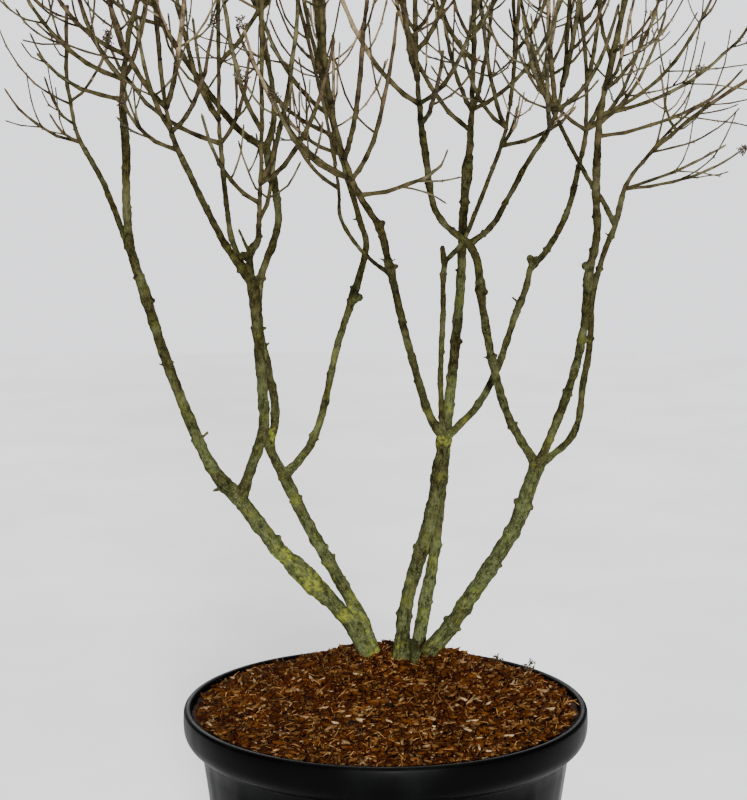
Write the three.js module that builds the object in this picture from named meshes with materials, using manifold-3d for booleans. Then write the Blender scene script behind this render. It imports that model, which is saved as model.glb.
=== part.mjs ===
// A panicle hydrangea, bare in winter, in a round nursery pot mulched with bark.
// Millimetres, +Z up. The origin is the middle of the pot's flat underside.
// X runs across the plant, Y from its front to its back.
// Every place is [across, back, up], and every limb and shoot is worked out from such sizes.
import * as THREE from "three";
import { mergeVertices } from "three/addons/utils/BufferGeometryUtils.js";
import Module from "manifold-3d";

const wasm = await Module();
wasm.setup();

// Driving dimensions
const GAP = 0.3;
const POT = {
  height: 540,
  baseRadius: 268,
  bodyTopRadius: 334,
  bodyTopHeight: 470,
  rimRadius: 365,
  rimBottomHeight: 508,
  lip: 15,
  wall: 5,
  floor: 7,
  sides: 32,
  footRound: 6,
  lipRound: 12,
  drains: 6,
  drainRadius: 9,
  drainRingRadius: 205,
};
// How the wall swells out under the pot's band, as [out, up] from the top of the body
const TUCK = [[18, 6], [28, 20]];
const BED = {
  mixTop: 455,
  edgeHeight: 524,
  moundHeight: 66,
  moundSpread: 170,
  moundCentre: [20, 140],
  edgeShare: 0.33,
  rings: 5,
};
const STEM_CUT = 583;
const LIMB = { ringStep: 80, thick: 9, thickSides: 8, thinSides: 6, flareFade: 22 };
// A mass's stem begins inside its bough's tip, from which it is then cut clear. It runs on along its
// bough for a share of its reach before it bends to its end, and has a node at every step.
const MASS_STEM = {
  inside: 2,
  nearTip: 40,
  forward: 0.26,
  tipRadius: 2.2,
  sides: 6,
  rings: 6,
  firstNode: 26,
  nodeStep: 60,
};
// A side shoot leaves the stem the higher the steeper it rises
const SHOOT = {
  leaving: [0.25, 0.52],
  steepness: 1.3,
  highest: 0.6,
  radii: [2.3, 3.8],
  longReach: 600,
  stemShare: 0.8,
};
const TWIG = {
  outward: 0.7,
  upward: 0.2,
  pairsAt: [0.42, 0.72],
  secondPairFrom: 300,
  spread: [0.62, 0.95],
  share: 0.42,
  least: 45,
  vary: [0.75, 1.25],
  lift: 0.22,
  thickness: 0.48,
  leastRadius: 1.2,
  clear: 11,
  sampleStep: 12,
  tipRadius: 0.9,
};
const HEAD = { chance: 0.14, rays: 3, length: 32, radius: 1.2, sunk: 4, forward: 0.7 };
// First value and step of the random run of each mass, for its shoots and for its twigs
const SHOOT_SEED = [101, 37];
const TWIG_SEED = [5003, 911];
const BARK = "#4a4421";
const TWIG_BARK = "#3f3420";

// Stems and boughs, from the foot up. Each goes through its few places with an even taper.
// A swelling is [share of the length, extra radius, share of the length it spreads over].
const LIMBS = [
  {
    name: "stem_outer_left",
    places: [
      [-20, 131, 560], [-62, 125, 651], [-132, 115, 730], [-202, 106, 806], [-268, 95, 898],
    ],
    radii: [14.5, 13.5],
    flare: 2.5,
    swellings: [[0.54, 5.5, 0.1]],
  },
  {
    name: "stem_inner_left",
    places: [
      [-18, 140, 560], [-36, 138, 640], [-99, 145, 757], [-138, 151, 826], [-189, 160, 927],
    ],
    radii: [11.8, 11],
    flare: 2,
    swellings: [[1, 1.5, 0.05]],
  },
  {
    name: "stem_middle_front",
    places: [
      [25, 105, 560], [37, 100, 686], [55, 95, 763], [82, 90, 858], [99, 84, 953],
      [106, 80, 1012],
    ],
    radii: [12.8, 12.2],
    flare: 3.5,
    swellings: [[0.62, 2, 0.03], [0.8, 2.2, 0.06], [1, 3, 0.05]],
  },
  {
    name: "stem_middle_back",
    places: [
      [56, 172, 560], [77, 194, 681], [94, 213, 773], [118, 262, 1006], [143, 312, 1249],
      [151, 345, 1410], [161, 366, 1513],
    ],
    radii: [12.8, 7.2],
    flare: 3,
    swellings: [[0.45, 1.2, 0.02], [0.94, 3.2, 0.05]],
  },
  {
    name: "stem_right",
    places: [
      [58, 134, 560], [84, 130, 601], [130, 123, 661], [232, 103, 831], [261, 95, 913],
      [277, 90, 959],
    ],
    radii: [15.5, 13.2],
    flare: 3.5,
    swellings: [[0.3, 1.5, 0.05], [1, 2.5, 0.05]],
  },
  {
    name: "cut_stub",
    places: [[56, 99, 560], [54, 98, 600], [51, 95, 628]],
    radii: [9.5, 9],
    flare: 2,
    swellings: [],
  },
  {
    name: "bough_far_left",
    places: [
      [-267, 95, 896], [-318, 90, 957], [-358, 83, 1052], [-401, 74, 1171],
      [-436, 65, 1293], [-457, 60, 1361],
    ],
    radii: [11, 8],
    swellings: [[0.12, 2, 0.06], [0.76, 2.4, 0.04]],
  },
  {
    name: "bough_far_left_upper",
    places: [[-457, 60, 1358], [-457, 29, 1464], [-453, 8, 1535], [-455, -14, 1610]],
    radii: [7.8, 6.8],
    swellings: [[0.66, 1, 0.06]],
  },
  {
    name: "bough_far_left_outer",
    places: [[-458, 60, 1358], [-494, 93, 1446], [-519, 113, 1495], [-544, 130, 1534]],
    radii: [5.4, 4.8],
    swellings: [],
  },
  {
    name: "bough_left",
    places: [
      [-267, 95, 896], [-243, 80, 961], [-221, 61, 1034], [-221, 40, 1116],
      [-233, -10, 1302],
    ],
    radii: [10.2, 8.8],
    swellings: [[1, 2, 0.05]],
  },
  {
    name: "bough_left_outer",
    places: [[-234, -10, 1299], [-271, -41, 1361], [-298, -75, 1418], [-344, -140, 1529]],
    radii: [6.6, 5.2],
    swellings: [],
  },
  {
    name: "bough_left_middle",
    places: [[-234, -8, 1300], [-266, -1, 1368], [-277, 8, 1421], [-286, 20, 1498]],
    radii: [5.4, 4.6],
    swellings: [],
  },
  {
    name: "bough_left_front",
    places: [[-233, -12, 1300], [-236, -47, 1354], [-220, -80, 1384], [-216, -110, 1414]],
    radii: [6.2, 4.6],
    swellings: [[0.5, 2, 0.1]],
  },
  {
    name: "bough_inner_left",
    places: [
      [-188, 160, 925], [-215, 167, 982], [-206, 173, 1019], [-205, 178, 1058],
      [-215, 185, 1113], [-233, 195, 1200], [-232, 201, 1289], [-198, 215, 1400],
      [-221, 230, 1533],
    ],
    radii: [8.4, 6.8],
    swellings: [[0.13, 1.2, 0.04], [0.96, 1.5, 0.03]],
  },
  {
    name: "bough_inner_left_upright",
    places: [[-221, 230, 1530], [-207, 250, 1580], [-211, 273, 1646], [-227, 305, 1733]],
    radii: [5.6, 4.6],
    swellings: [],
  },
  {
    name: "bough_inner_left_slanting",
    places: [
      [-221, 230, 1530], [-256, 237, 1551], [-294, 248, 1589], [-352, 267, 1665],
      [-408, 286, 1746],
    ],
    radii: [6.4, 5.2],
    swellings: [],
  },
  {
    name: "bough_centre_left",
    places: [
      [-188, 160, 926], [-142, 179, 978], [-116, 201, 1045], [-89, 238, 1163],
      [-38, 290, 1328], [-48, 310, 1393], [-82, 345, 1505],
    ],
    radii: [7.8, 5.2],
    swellings: [[0.22, 0.8, 0.02], [0.59, 2.2, 0.025]],
  },
  {
    name: "bough_centre",
    places: [
      [105, 80, 1010], [76, 60, 1065], [53, 22, 1144], [33, -12, 1218], [16, -52, 1294],
      [4, -78, 1346], [-4, -98, 1382], [-11, -108, 1407], [-26, -122, 1432],
      [-41, -143, 1456],
    ],
    radii: [7.4, 5.8],
    swellings: [[0.52, 1.8, 0.02], [0.775, 1.6, 0.018]],
  },
  {
    name: "bough_centre_side",
    places: [[8, -67, 1322], [-42, -42, 1362], [-78, -12, 1414], [-82, 5, 1457]],
    radii: [3.8, 3.2],
    swellings: [],
  },
  {
    name: "bough_upright",
    places: [
      [104, 81, 1010], [100, 92, 1120], [104, 111, 1226], [106, 126, 1318],
      [116, 136, 1336], [142, 150, 1365], [171, 172, 1431], [209, 200, 1525],
    ],
    radii: [5.4, 3.9],
    swellings: [[0.46, 1.8, 0.03]],
  },
  {
    name: "bough_crossing_back",
    places: [
      [107, 80, 1010], [166, 118, 1063], [206, 161, 1126], [241, 216, 1216],
      [264, 248, 1267], [276, 270, 1307], [301, 286, 1330], [329, 312, 1370],
      [353, 340, 1419], [368, 370, 1471], [382, 400, 1518],
    ],
    radii: [6.8, 5.2],
    swellings: [[0.34, 0.8, 0.02], [0.53, 2.8, 0.022]],
  },
  {
    name: "bough_centre_right",
    places: [
      [277, 90, 957], [225, 74, 1048], [196, 57, 1137], [173, 35, 1251], [161, 17, 1338],
      [146, 10, 1372],
    ],
    radii: [7.8, 7],
    swellings: [[0.68, 1.6, 0.03], [1, 2, 0.06]],
  },
  {
    name: "bough_centre_right_inner",
    places: [
      [147, 10, 1370], [123, 2, 1388], [97, -8, 1413], [79, -21, 1451], [70, -40, 1511],
      [61, -60, 1569],
    ],
    radii: [5.8, 5.6],
    swellings: [[1, 1.5, 0.12]],
  },
  {
    name: "bough_centre_right_outer",
    places: [
      [147, 10, 1370], [184, -26, 1405], [207, -68, 1452], [236, -126, 1516],
      [265, -170, 1567],
    ],
    radii: [5.4, 4.2],
    swellings: [],
  },
  {
    name: "bough_right",
    places: [
      [278, 88, 957], [314, 50, 1065], [337, 8, 1156], [347, -31, 1241],
      [349, -70, 1323], [358, -105, 1395], [351, -144, 1473], [348, -182, 1552],
    ],
    radii: [8, 6.2],
    swellings: [[0.56, 2.2, 0.03]],
  },
  {
    name: "bough_far_right",
    places: [
      [278, 92, 957], [344, 106, 1016], [362, 126, 1103], [376, 146, 1184],
      [380, 163, 1256], [401, 182, 1335], [424, 197, 1391], [438, 211, 1445],
    ],
    radii: [6.6, 5],
    swellings: [[0.92, 1, 0.04]],
  },
  {
    name: "bough_far_right_inner",
    places: [
      [424, 198, 1390], [403, 216, 1433], [377, 236, 1473], [342, 271, 1542],
      [325, 300, 1580],
    ],
    radii: [4.6, 3.9],
    swellings: [],
  },
];

// Masses of twigs: the bough each grows on, the way from that bough's tip to the mass's lowest fork,
// and how far its leading shoots reach from there. The longest is its stem, which the others grow
// on. A fourth value is the share of its rise that a shoot makes early on.
const MASSES = [
  {
    name: "twigs_far_left_upper",
    bough: "bough_far_left_upper",
    fork: [3, -24, 72],
    shoots: [
      [150, -100, 430], [-100, -20, 270], [40, 120, 210], [-200, 80, 180], [-160, 100, 20],
      [-140, -90, 210], [-50, 30, 380],
    ],
  },
  {
    name: "twigs_far_left_outer",
    bough: "bough_far_left_outer",
    fork: [-14, 8, 20],
    shoots: [[-130, 20, 85], [-45, -10, 40], [60, 90, 220], [-50, -30, 105], [-40, 190, 240]],
  },
  {
    name: "twigs_left_outer",
    bough: "bough_left_outer",
    fork: [-10, -14, 25],
    shoots: [
      [-80, -20, 60], [-50, -110, 220], [40, -100, 400], [-100, -180, 320], [-20, -30, 540],
      [80, -180, 180],
    ],
  },
  {
    name: "twigs_left_middle",
    bough: "bough_left_middle",
    fork: [2, 6, 26],
    shoots: [
      [-200, 30, 190], [140, 20, 550], [-90, -60, 400], [45, 10, 170], [10, 40, 630],
      [-60, 100, 240],
    ],
  },
  {
    name: "twigs_left_front",
    bough: "bough_left_front",
    fork: [2, -12, 24],
    shoots: [
      [80, -80, 450], [-60, -160, 470], [30, -20, 110], [-90, -60, 160], [130, -180, 280],
      [20, -210, 560],
    ],
  },
  {
    name: "twigs_inner_left_upright",
    bough: "bough_inner_left_upright",
    fork: [-6, 12, 34],
    shoots: [[0, 50, 320], [-50, 170, 200], [60, 0, 190], [-70, 0, 370], [20, 190, 170]],
  },
  {
    name: "twigs_inner_left_slanting",
    bough: "bough_inner_left_slanting",
    fork: [-20, 8, 30],
    shoots: [[-100, 30, 270], [-30, 100, 360], [50, 10, 300], [-120, -50, 80], [-90, 150, 170]],
  },
  {
    name: "twigs_centre_left",
    bough: "bough_centre_left",
    fork: [-8, 14, 36],
    shoots: [
      [-190, 50, 400], [-130, 90, 580], [-30, 130, 450], [-110, -20, 70], [-200, 130, 220],
      [-50, 210, 300],
    ],
  },
  {
    name: "twigs_centre",
    bough: "bough_centre",
    fork: [-38, -44, 78],
    shoots: [
      [95, -40, 230], [-150, -80, 200], [-30, -200, 400], [-60, -70, 520], [170, 60, -20],
      [50, -210, 330], [-100, -140, 90],
    ],
  },
  {
    name: "twigs_centre_side",
    bough: "bough_centre_side",
    fork: [-1, 6, 18],
    shoots: [[-70, -20, 320], [-100, 30, 140], [-10, 50, 260]],
  },
  {
    name: "twigs_upright",
    bough: "bough_upright",
    fork: [8, 6, 22],
    shoots: [
      [-50, 30, 350], [25, -10, 60], [130, -10, 60], [30, -20, 470], [-80, -10, 180],
      [-10, 70, 600],
    ],
  },
  {
    name: "twigs_middle_back",
    bough: "stem_middle_back",
    fork: [3, 6, 26],
    shoots: [
      [-170, 80, 400], [-130, -20, 530], [0, 90, 690], [120, 70, 580],
      [200, 150, 320], [-60, 210, 380], [60, 230, 380],
    ],
  },
  {
    name: "twigs_centre_right_inner",
    bough: "bough_centre_right_inner",
    fork: [-4, -10, 32],
    shoots: [
      [-170, -60, 330], [-60, -30, 450], [-10, -110, 530], [80, -50, 380],
      [90, -160, 180], [-40, -250, 300], [30, -250, 100],
    ],
  },
  {
    name: "twigs_centre_right_outer",
    bough: "bough_centre_right_outer",
    fork: [10, -12, 18],
    shoots: [
      [-20, -50, 350], [100, -40, 190], [30, -150, 290], [-60, -120, 170], [10, 20, 470],
      [-30, -220, 110],
    ],
  },
  {
    name: "twigs_right",
    bough: "bough_right",
    fork: [2, -8, 30],
    shoots: [
      [200, -20, 270], [110, -70, 470], [270, 30, 200], [-20, 20, 420], [240, 50, 90],
      [30, -220, 240], [130, 120, 300],
    ],
  },
  {
    name: "twigs_far_right",
    bough: "bough_far_right",
    fork: [4, 4, 18],
    shoots: [
      [250, 50, 205, 0.7], [180, -20, 75, 0.5], [140, 20, 145, 0.9], [215, 40, 60],
      [80, 130, 220],
    ],
  },
  {
    name: "twigs_far_right_inner",
    bough: "bough_far_right_inner",
    fork: [-6, 8, 24],
    shoots: [[20, 0, 430], [60, 10, 390], [-90, -40, 180], [-140, 30, 550], [120, 90, 240]],
  },
  {
    name: "twigs_crossing_back",
    bough: "bough_crossing_back",
    fork: [5, 12, 26],
    shoots: [
      [90, 60, 360], [-50, 60, 550], [-110, 90, 210], [160, 60, 240], [40, 40, 440],
      [130, 180, 200],
    ],
  },
];

// Sums on [x, y, z] lists
const plus = (a, b, scale = 1) => a.map((v, i) => v + b[i] * scale);
const minus = (a, b) => a.map((v, i) => v - b[i]);
const times = (a, scale) => a.map((v) => v * scale);
const dot = (a, b) => a[0] * b[0] + a[1] * b[1] + a[2] * b[2];
const size = (a) => Math.sqrt(dot(a, a));
const unit = (a) => times(a, 1 / size(a));
const mix = (a, b, t) => a + (b - a) * t;

function cross(a, b) {
  return [a[1] * b[2] - a[2] * b[1], a[2] * b[0] - a[0] * b[2], a[0] * b[1] - a[1] * b[0]];
}

// A direction that is well away from the given one
function awayFrom(way) {
  return Math.abs(way[2]) < 0.9 ? [0, 0, 1] : [1, 0, 0];
}

// A run of even random numbers that is the same every time
function randomRun(seed) {
  let state = seed;
  return () => {
    state = (state * 16807) % 2147483647;
    return state / 2147483647;
  };
}

// The place a share t of the way along a smooth curve through the given places
function along(places, t) {
  const last = places.length - 1;
  const index = Math.min(Math.floor(t * last), last - 1);
  const w = t * last - index;
  const p1 = places[index];
  const p2 = places[index + 1];
  const p0 = index > 0 ? places[index - 1] : minus(times(p1, 2), p2);
  const p3 = index + 2 <= last ? places[index + 2] : minus(times(p2, 2), p1);
  return p1.map((v, i) => {
    const tangent1 = (p2[i] - p0[i]) / 2;
    const tangent2 = (p3[i] - v) / 2;
    const cubic = 2 * v - 2 * p2[i] + tangent1 + tangent2;
    const square = -3 * v + 3 * p2[i] - 2 * tangent1 - tangent2;
    return cubic * w ** 3 + square * w ** 2 + tangent1 * w + v;
  });
}

// A limb's centre line with its radius at each ring
function limbLine(limb, ringStep) {
  const spans = limb.places.length - 1;
  const line = [];
  for (let span = 0; span < spans; span += 1) {
    const length = size(minus(limb.places[span + 1], limb.places[span]));
    const rings = Math.max(1, Math.round(length / ringStep));
    for (let ring = span === 0 ? 0 : 1; ring <= rings; ring += 1) {
      const t = (span + ring / rings) / spans;
      const flare = (limb.flare ?? 0) * Math.exp(-t * LIMB.flareFade);
      let radius = mix(limb.radii[0], limb.radii[1], t) + flare;
      for (const [at, extra, width] of limb.swellings) {
        radius += extra * Math.exp(-(((t - at) / width) ** 2));
      }
      line.push({ at: along(limb.places, t), radius });
    }
  }
  return line;
}

// A closed three.js shape as a solid that can be joined and cut
function solidOf(geometry) {
  geometry.deleteAttribute("normal");
  geometry.deleteAttribute("uv");
  const merged = mergeVertices(geometry, 1e-4);
  return new wasm.Manifold(new wasm.Mesh({
    numProp: 3,
    vertProperties: new Float32Array(merged.attributes.position.array),
    triVerts: new Uint32Array(merged.index.array),
  }));
}

// A tapered tube along a centre line: a cylinder, or a cone for a pointed end, that is bent to it
function tube(line, sides, { pointed = false, grow = 0 } = {}) {
  const steps = line.length - 1;
  const shape = pointed
    ? new THREE.ConeGeometry(1, 1, sides, steps)
    : new THREE.CylinderGeometry(1, 1, 1, sides, steps);
  const frames = [];
  let side = null;
  for (let ring = 0; ring <= steps; ring += 1) {
    const before = line[Math.max(ring - 1, 0)].at;
    const after = line[Math.min(ring + 1, steps)].at;
    const tangent = unit(minus(after, before));
    const guess = side ?? awayFrom(tangent);
    side = unit(plus(guess, tangent, -dot(guess, tangent)));
    frames.push({ tangent, side, other: cross(side, tangent) });
  }
  const position = shape.attributes.position;
  for (let i = 0; i < position.count; i += 1) {
    const share = position.getY(i) + 0.5;
    const ring = Math.round(share * steps);
    const scale = pointed ? 1 / Math.max(1 - share, 1e-6) : 1;
    const { tangent, side: first, other } = frames[ring];
    const radius = pointed && ring === steps ? 0 : line[ring].radius + grow;
    const reach = ring === 0 ? -grow : ring === steps ? grow : 0;
    let point = plus(line[ring].at, tangent, reach);
    point = plus(point, first, position.getX(i) * scale * radius);
    point = plus(point, other, position.getZ(i) * scale * radius);
    position.setXYZ(i, ...point);
  }
  return solidOf(shape);
}

// The largest piece of a solid that a cut may have parted
function mainPiece(solid) {
  return solid.decompose().sort((a, b) => b.volume() - a.volume())[0];
}

function meshOf(solid, name, colour, roughness) {
  const { vertProperties, triVerts } = solid.getMesh();
  const geometry = new THREE.BufferGeometry();
  geometry.setAttribute("position", new THREE.BufferAttribute(vertProperties, 3));
  geometry.setIndex(new THREE.BufferAttribute(triVerts, 1));
  geometry.computeVertexNormals();
  const material = new THREE.MeshStandardMaterial({ color: colour, roughness, metalness: 0 });
  const mesh = new THREE.Mesh(geometry, material);
  mesh.name = name;
  return mesh;
}

// A solid turned round the Z axis from a closed outline of [radius, height] points
function turned(outline) {
  const points = outline.map(([radius, height]) => new THREE.Vector2(radius, height));
  return new THREE.LatheGeometry(points, POT.sides).rotateX(Math.PI / 2);
}

// The pot's inner wall radius at a height
function innerRadius(height) {
  const body = mix(POT.baseRadius, POT.bodyTopRadius, Math.min(height / POT.bodyTopHeight, 1));
  const step = Math.max(0, (height - POT.bodyTopHeight) / (POT.rimBottomHeight - POT.bodyTopHeight));
  const bandInside = POT.rimRadius - POT.lip;
  return Math.min(body - POT.wall + step * (bandInside - body + POT.wall), bandInside);
}

function potSolid() {
  const { height, baseRadius, bodyTopRadius, bodyTopHeight, rimRadius, rimBottomHeight } = POT;
  const { floor, footRound, lipRound } = POT;
  const outline = [
    [0, 0],
    [baseRadius - footRound, 0],
    [baseRadius, footRound],
    [bodyTopRadius, bodyTopHeight],
    ...TUCK.map(([out, up]) => [bodyTopRadius + out, bodyTopHeight + up]),
    [rimRadius, rimBottomHeight],
    [rimRadius, height - lipRound],
    [rimRadius - lipRound / 3, height - lipRound / 6],
    [rimRadius - lipRound * 0.7, height],
    [innerRadius(height) + lipRound / 4, height - lipRound / 6],
    [innerRadius(height), height - lipRound * 0.7],
    [innerRadius(rimBottomHeight), rimBottomHeight],
    [innerRadius(bodyTopHeight), bodyTopHeight],
    [innerRadius(floor), floor],
    [0, floor],
  ];
  let solid = solidOf(turned(outline));
  for (let i = 0; i < POT.drains; i += 1) {
    const angle = ((i + 0.5) / POT.drains) * 2 * Math.PI;
    const hole = new THREE.CylinderGeometry(POT.drainRadius, POT.drainRadius, 4 * floor, 12);
    hole.rotateX(Math.PI / 2);
    hole.translate(POT.drainRingRadius * Math.cos(angle), POT.drainRingRadius * Math.sin(angle), 0);
    solid = solid.subtract(solidOf(hole));
  }
  return solid;
}

function mixSolid() {
  const bottom = POT.floor + GAP;
  const top = BED.mixTop - GAP;
  const outline = [
    [0, bottom],
    [innerRadius(bottom) - GAP, bottom],
    [innerRadius(top) - GAP, top],
    [0, top],
  ];
  return solidOf(turned(outline));
}

// The mulch lies just under the rim and is heaped round the stems' feet
function mulchRise(x, y) {
  const away = (x - BED.moundCentre[0]) ** 2 + (y - BED.moundCentre[1]) ** 2;
  return BED.moundHeight * Math.exp(-away / (2 * BED.moundSpread ** 2));
}

function mulchSolid(stems) {
  const edge = innerRadius(BED.edgeHeight) - GAP;
  const outline = [
    [0, BED.mixTop],
    [innerRadius(BED.mixTop) - GAP, BED.mixTop],
    [innerRadius(POT.bodyTopHeight) - GAP, POT.bodyTopHeight],
    [innerRadius(POT.rimBottomHeight) - GAP, POT.rimBottomHeight],
    [edge, BED.edgeHeight],
  ];
  for (let ring = 1; ring <= BED.rings; ring += 1) {
    outline.push([edge * (1 - ring / BED.rings), BED.edgeHeight]);
  }
  const shape = turned(outline);
  const position = shape.attributes.position;
  for (let i = 0; i < position.count; i += 1) {
    const [x, y, z] = [position.getX(i), position.getY(i), position.getZ(i)];
    const inward = Math.min(1, (1 - Math.hypot(x, y) / edge) / BED.edgeShare);
    if (z > BED.edgeHeight - 1) position.setZ(i, z + mulchRise(x, y) * inward);
  }
  return stems.reduce((solid, stem) => solid.subtract(stem), solidOf(shape));
}

// Everything below the level the stems are cut at
function belowCut(level) {
  const side = 2 * BED.moundSpread;
  const box = new THREE.BoxGeometry(side, side, side);
  box.translate(0, BED.moundCentre[1], level - side / 2);
  return solidOf(box);
}

function limbSolid(limb, grow = 0) {
  const sides = limb.radii[0] > LIMB.thick ? LIMB.thickSides : LIMB.thinSides;
  const solid = tube(limbLine(limb, LIMB.ringStep), sides, { grow });
  return limb.flare ? mainPiece(solid.subtract(belowCut(STEM_CUT - grow))) : solid;
}

// A solid cut clear of limbs, so that a fork's pieces meet with a hair's gap
function cutClear(solid, limbs) {
  const near = limbs.filter(({ grown }) => !solid.intersect(grown).isEmpty());
  return near.reduce((piece, { grown }) => mainPiece(piece.subtract(grown)), solid);
}

// Each limb is cut clear of the limbs before it
function allLimbs() {
  const done = [];
  for (const limb of LIMBS) {
    done.push({ limb, solid: cutClear(limbSolid(limb), done), grown: limbSolid(limb, GAP) });
  }
  return done;
}

// The place a share t of the way along a curve that sets out towards its bend
function bentAt({ start, bend, end, radii }, t) {
  const at = start.map((v, axis) => mix(mix(v, bend[axis], t), mix(bend[axis], end[axis], t), t));
  return { at, radius: mix(radii[0], radii[1], t) };
}

function bentLine(curve, steps) {
  const line = [];
  for (let i = 0; i <= steps; i += 1) {
    line.push(bentAt(curve, i / steps));
  }
  return line;
}

// A shoot's centre line: it leaves outward and curves up to the end of its reach
function shootLine(start, reach, radii, steps) {
  const [across, back, up, early = TWIG.upward] = reach;
  const bend = plus(start, [across * TWIG.outward, back * TWIG.outward, up * early]);
  return bentLine({ start, bend, end: plus(start, [across, back, up]), radii }, steps);
}

// Places along a line, close enough together to test what it would touch
function samples(line, owner) {
  const out = [];
  for (let i = 0; i + 1 < line.length; i += 1) {
    const span = minus(line[i + 1].at, line[i].at);
    const parts = Math.ceil(size(span) / TWIG.sampleStep);
    for (let part = 0; part < parts; part += 1) {
      out.push({ at: plus(line[i].at, span, part / parts), radius: line[i].radius, owner });
    }
  }
  out.push({ ...line.at(-1), owner });
  return out;
}

const reachOf = (shoot) => size(shoot.slice(0, 3));

// The first part of each mass: its stem, and the side shoots that leave it at its nodes
function leadersOf(mass, massIndex) {
  const bough = LIMBS.find((limb) => limb.name === mass.bough);
  const tangent = unit(minus(along(bough.places, 1), along(bough.places, 0.98)));
  const start = plus(bough.places.at(-1), tangent, -MASS_STEM.inside);
  const fork = plus(start, mass.fork);
  const longest = mass.shoots.reduce((a, b) => (reachOf(b) > reachOf(a) ? b : a));
  const end = plus(fork, longest);
  const length = size(minus(end, start));
  const bend = plus(start, tangent, MASS_STEM.forward * length);
  const curve = { start, bend, end, radii: [bough.radii[1], MASS_STEM.tipRadius] };
  const random = randomRun(SHOOT_SEED[0] + SHOOT_SEED[1] * massIndex);
  const shoots = mass.shoots.filter((reach) => reach !== longest).map((reach) => {
    const rise = Math.min(1, Math.max(0, reach[2] / longest[2]));
    const share = mix(...SHOOT.leaving, random()) * rise ** SHOOT.steepness;
    const node = Math.round((share * length) / MASS_STEM.nodeStep);
    const up = Math.min((MASS_STEM.firstNode + node * MASS_STEM.nodeStep) / length, SHOOT.highest);
    const { at, radius } = bentAt(curve, up);
    const ahead = minus(plus(fork, reach), at);
    const girth = mix(...SHOOT.radii, size(ahead) / SHOOT.longReach);
    const radii = [Math.min(radius * SHOOT.stemShare, girth), TWIG.tipRadius];
    return shootLine(at, [...ahead, reach[3]], radii, size(ahead) > TWIG.secondPairFrom ? 4 : 3);
  });
  const stem = bentLine(curve, MASS_STEM.rings);
  return { mass, massIndex, start, stem, shoots, twigs: [], heads: [] };
}

// Opposite pairs of side twigs on a shoot, each pair turned a quarter from the last
function pairsOn(line, random) {
  const first = line[0].at;
  const reach = size(minus(line.at(-1).at, first));
  const steps = line.length - 1;
  const twigs = [];
  let turn = random() * Math.PI;
  for (const at of TWIG.pairsAt.slice(0, reach > TWIG.secondPairFrom ? 2 : 1)) {
    const index = Math.min(Math.floor(at * steps), steps - 1);
    const tangent = unit(minus(line[index + 1].at, line[index].at));
    const from = plus(line[index].at, minus(line[index + 1].at, line[index].at), at * steps - index);
    const side = unit(cross(tangent, awayFrom(tangent)));
    const other = cross(tangent, side);
    for (const sign of [1, -1]) {
      const angle = mix(...TWIG.spread, random());
      const length = (TWIG.share * reach * (1.2 - at) + TWIG.least) * mix(...TWIG.vary, random());
      const out = plus(times(side, Math.cos(turn) * sign), other, Math.sin(turn) * sign);
      const way = plus(times(tangent, Math.cos(angle)), out, Math.sin(angle));
      const ahead = plus(times(way, length), [0, 0, TWIG.lift * length]);
      const radius = Math.max(TWIG.leastRadius, line[index].radius * TWIG.thickness);
      twigs.push(shootLine(from, ahead, [radius, TWIG.tipRadius], 1));
    }
    turn += Math.PI / 2 + mix(-0.3, 0.3, random());
  }
  return twigs;
}

// The last of a dried flower head: a few fine rays
function headRays(tip, way, random) {
  const rays = [];
  for (let i = 0; i < HEAD.rays; i += 1) {
    const angle = (i + random() * 0.6) * ((2 * Math.PI) / HEAD.rays);
    const out = plus([Math.cos(angle), Math.sin(angle), 0], way, HEAD.forward);
    const end = plus(tip, unit(out), HEAD.length * mix(0.6, 1, random()));
    rays.push([{ at: plus(tip, way, -HEAD.sunk), radius: HEAD.radius }, { at: end, radius: 0 }]);
  }
  return rays;
}

function nearestOwner(point, marks) {
  let best = Infinity;
  let owner = null;
  for (const mark of marks) {
    const off = minus(mark.at, point);
    const away = dot(off, off);
    if (away < best) {
      best = away;
      owner = mark.owner;
    }
  }
  return owner;
}

function touches(point, marks) {
  return marks.some((mark) => size(minus(mark.at, point.at)) < mark.radius + point.radius + TWIG.clear);
}

// All masses grow together. A side twig that leaves its mass's space, which is all that lies
// nearer to its own leading shoots than to another mass's, or that would touch a limb, is skipped.
function allMasses() {
  const masses = MASSES.map(leadersOf);
  const limbMarks = LIMBS.flatMap((limb) => samples(limbLine(limb, LIMB.ringStep), limb.name));
  const leaders = (grown) => [grown.stem, ...grown.shoots];
  const marksOf = (grown) => leaders(grown).flatMap((line) => samples(line, grown.mass.name));
  const shootMarks = masses.flatMap(marksOf);
  for (const grown of masses) {
    const own = grown.mass.name;
    const nearTip = (mark) => size(minus(mark.at, grown.start)) < MASS_STEM.nearTip;
    const limbs = limbMarks.filter((mark) => mark.owner !== grown.mass.bough || !nearTip(mark));
    const random = randomRun(TWIG_SEED[0] + TWIG_SEED[1] * grown.massIndex);
    for (const shoot of leaders(grown)) {
      for (const twig of pairsOn(shoot, random)) {
        const path = samples(twig, own);
        const inside = path.every((point) => nearestOwner(point.at, shootMarks) === own);
        if (inside && !path.some((point) => touches(point, limbs))) grown.twigs.push(twig);
      }
      if (random() < HEAD.chance) {
        const tip = shoot.at(-1).at;
        grown.heads.push(...headRays(tip, unit(minus(tip, shoot.at(-2).at)), random));
      }
    }
  }
  return masses;
}

function massSolid(grown, limbs) {
  const parts = [tube(grown.stem, MASS_STEM.sides, { pointed: true })];
  for (const line of [...grown.shoots, ...grown.twigs, ...grown.heads]) {
    parts.push(tube(line, 3, { pointed: true }));
  }
  return cutClear(mainPiece(wasm.Manifold.union(parts)), limbs);
}

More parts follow.
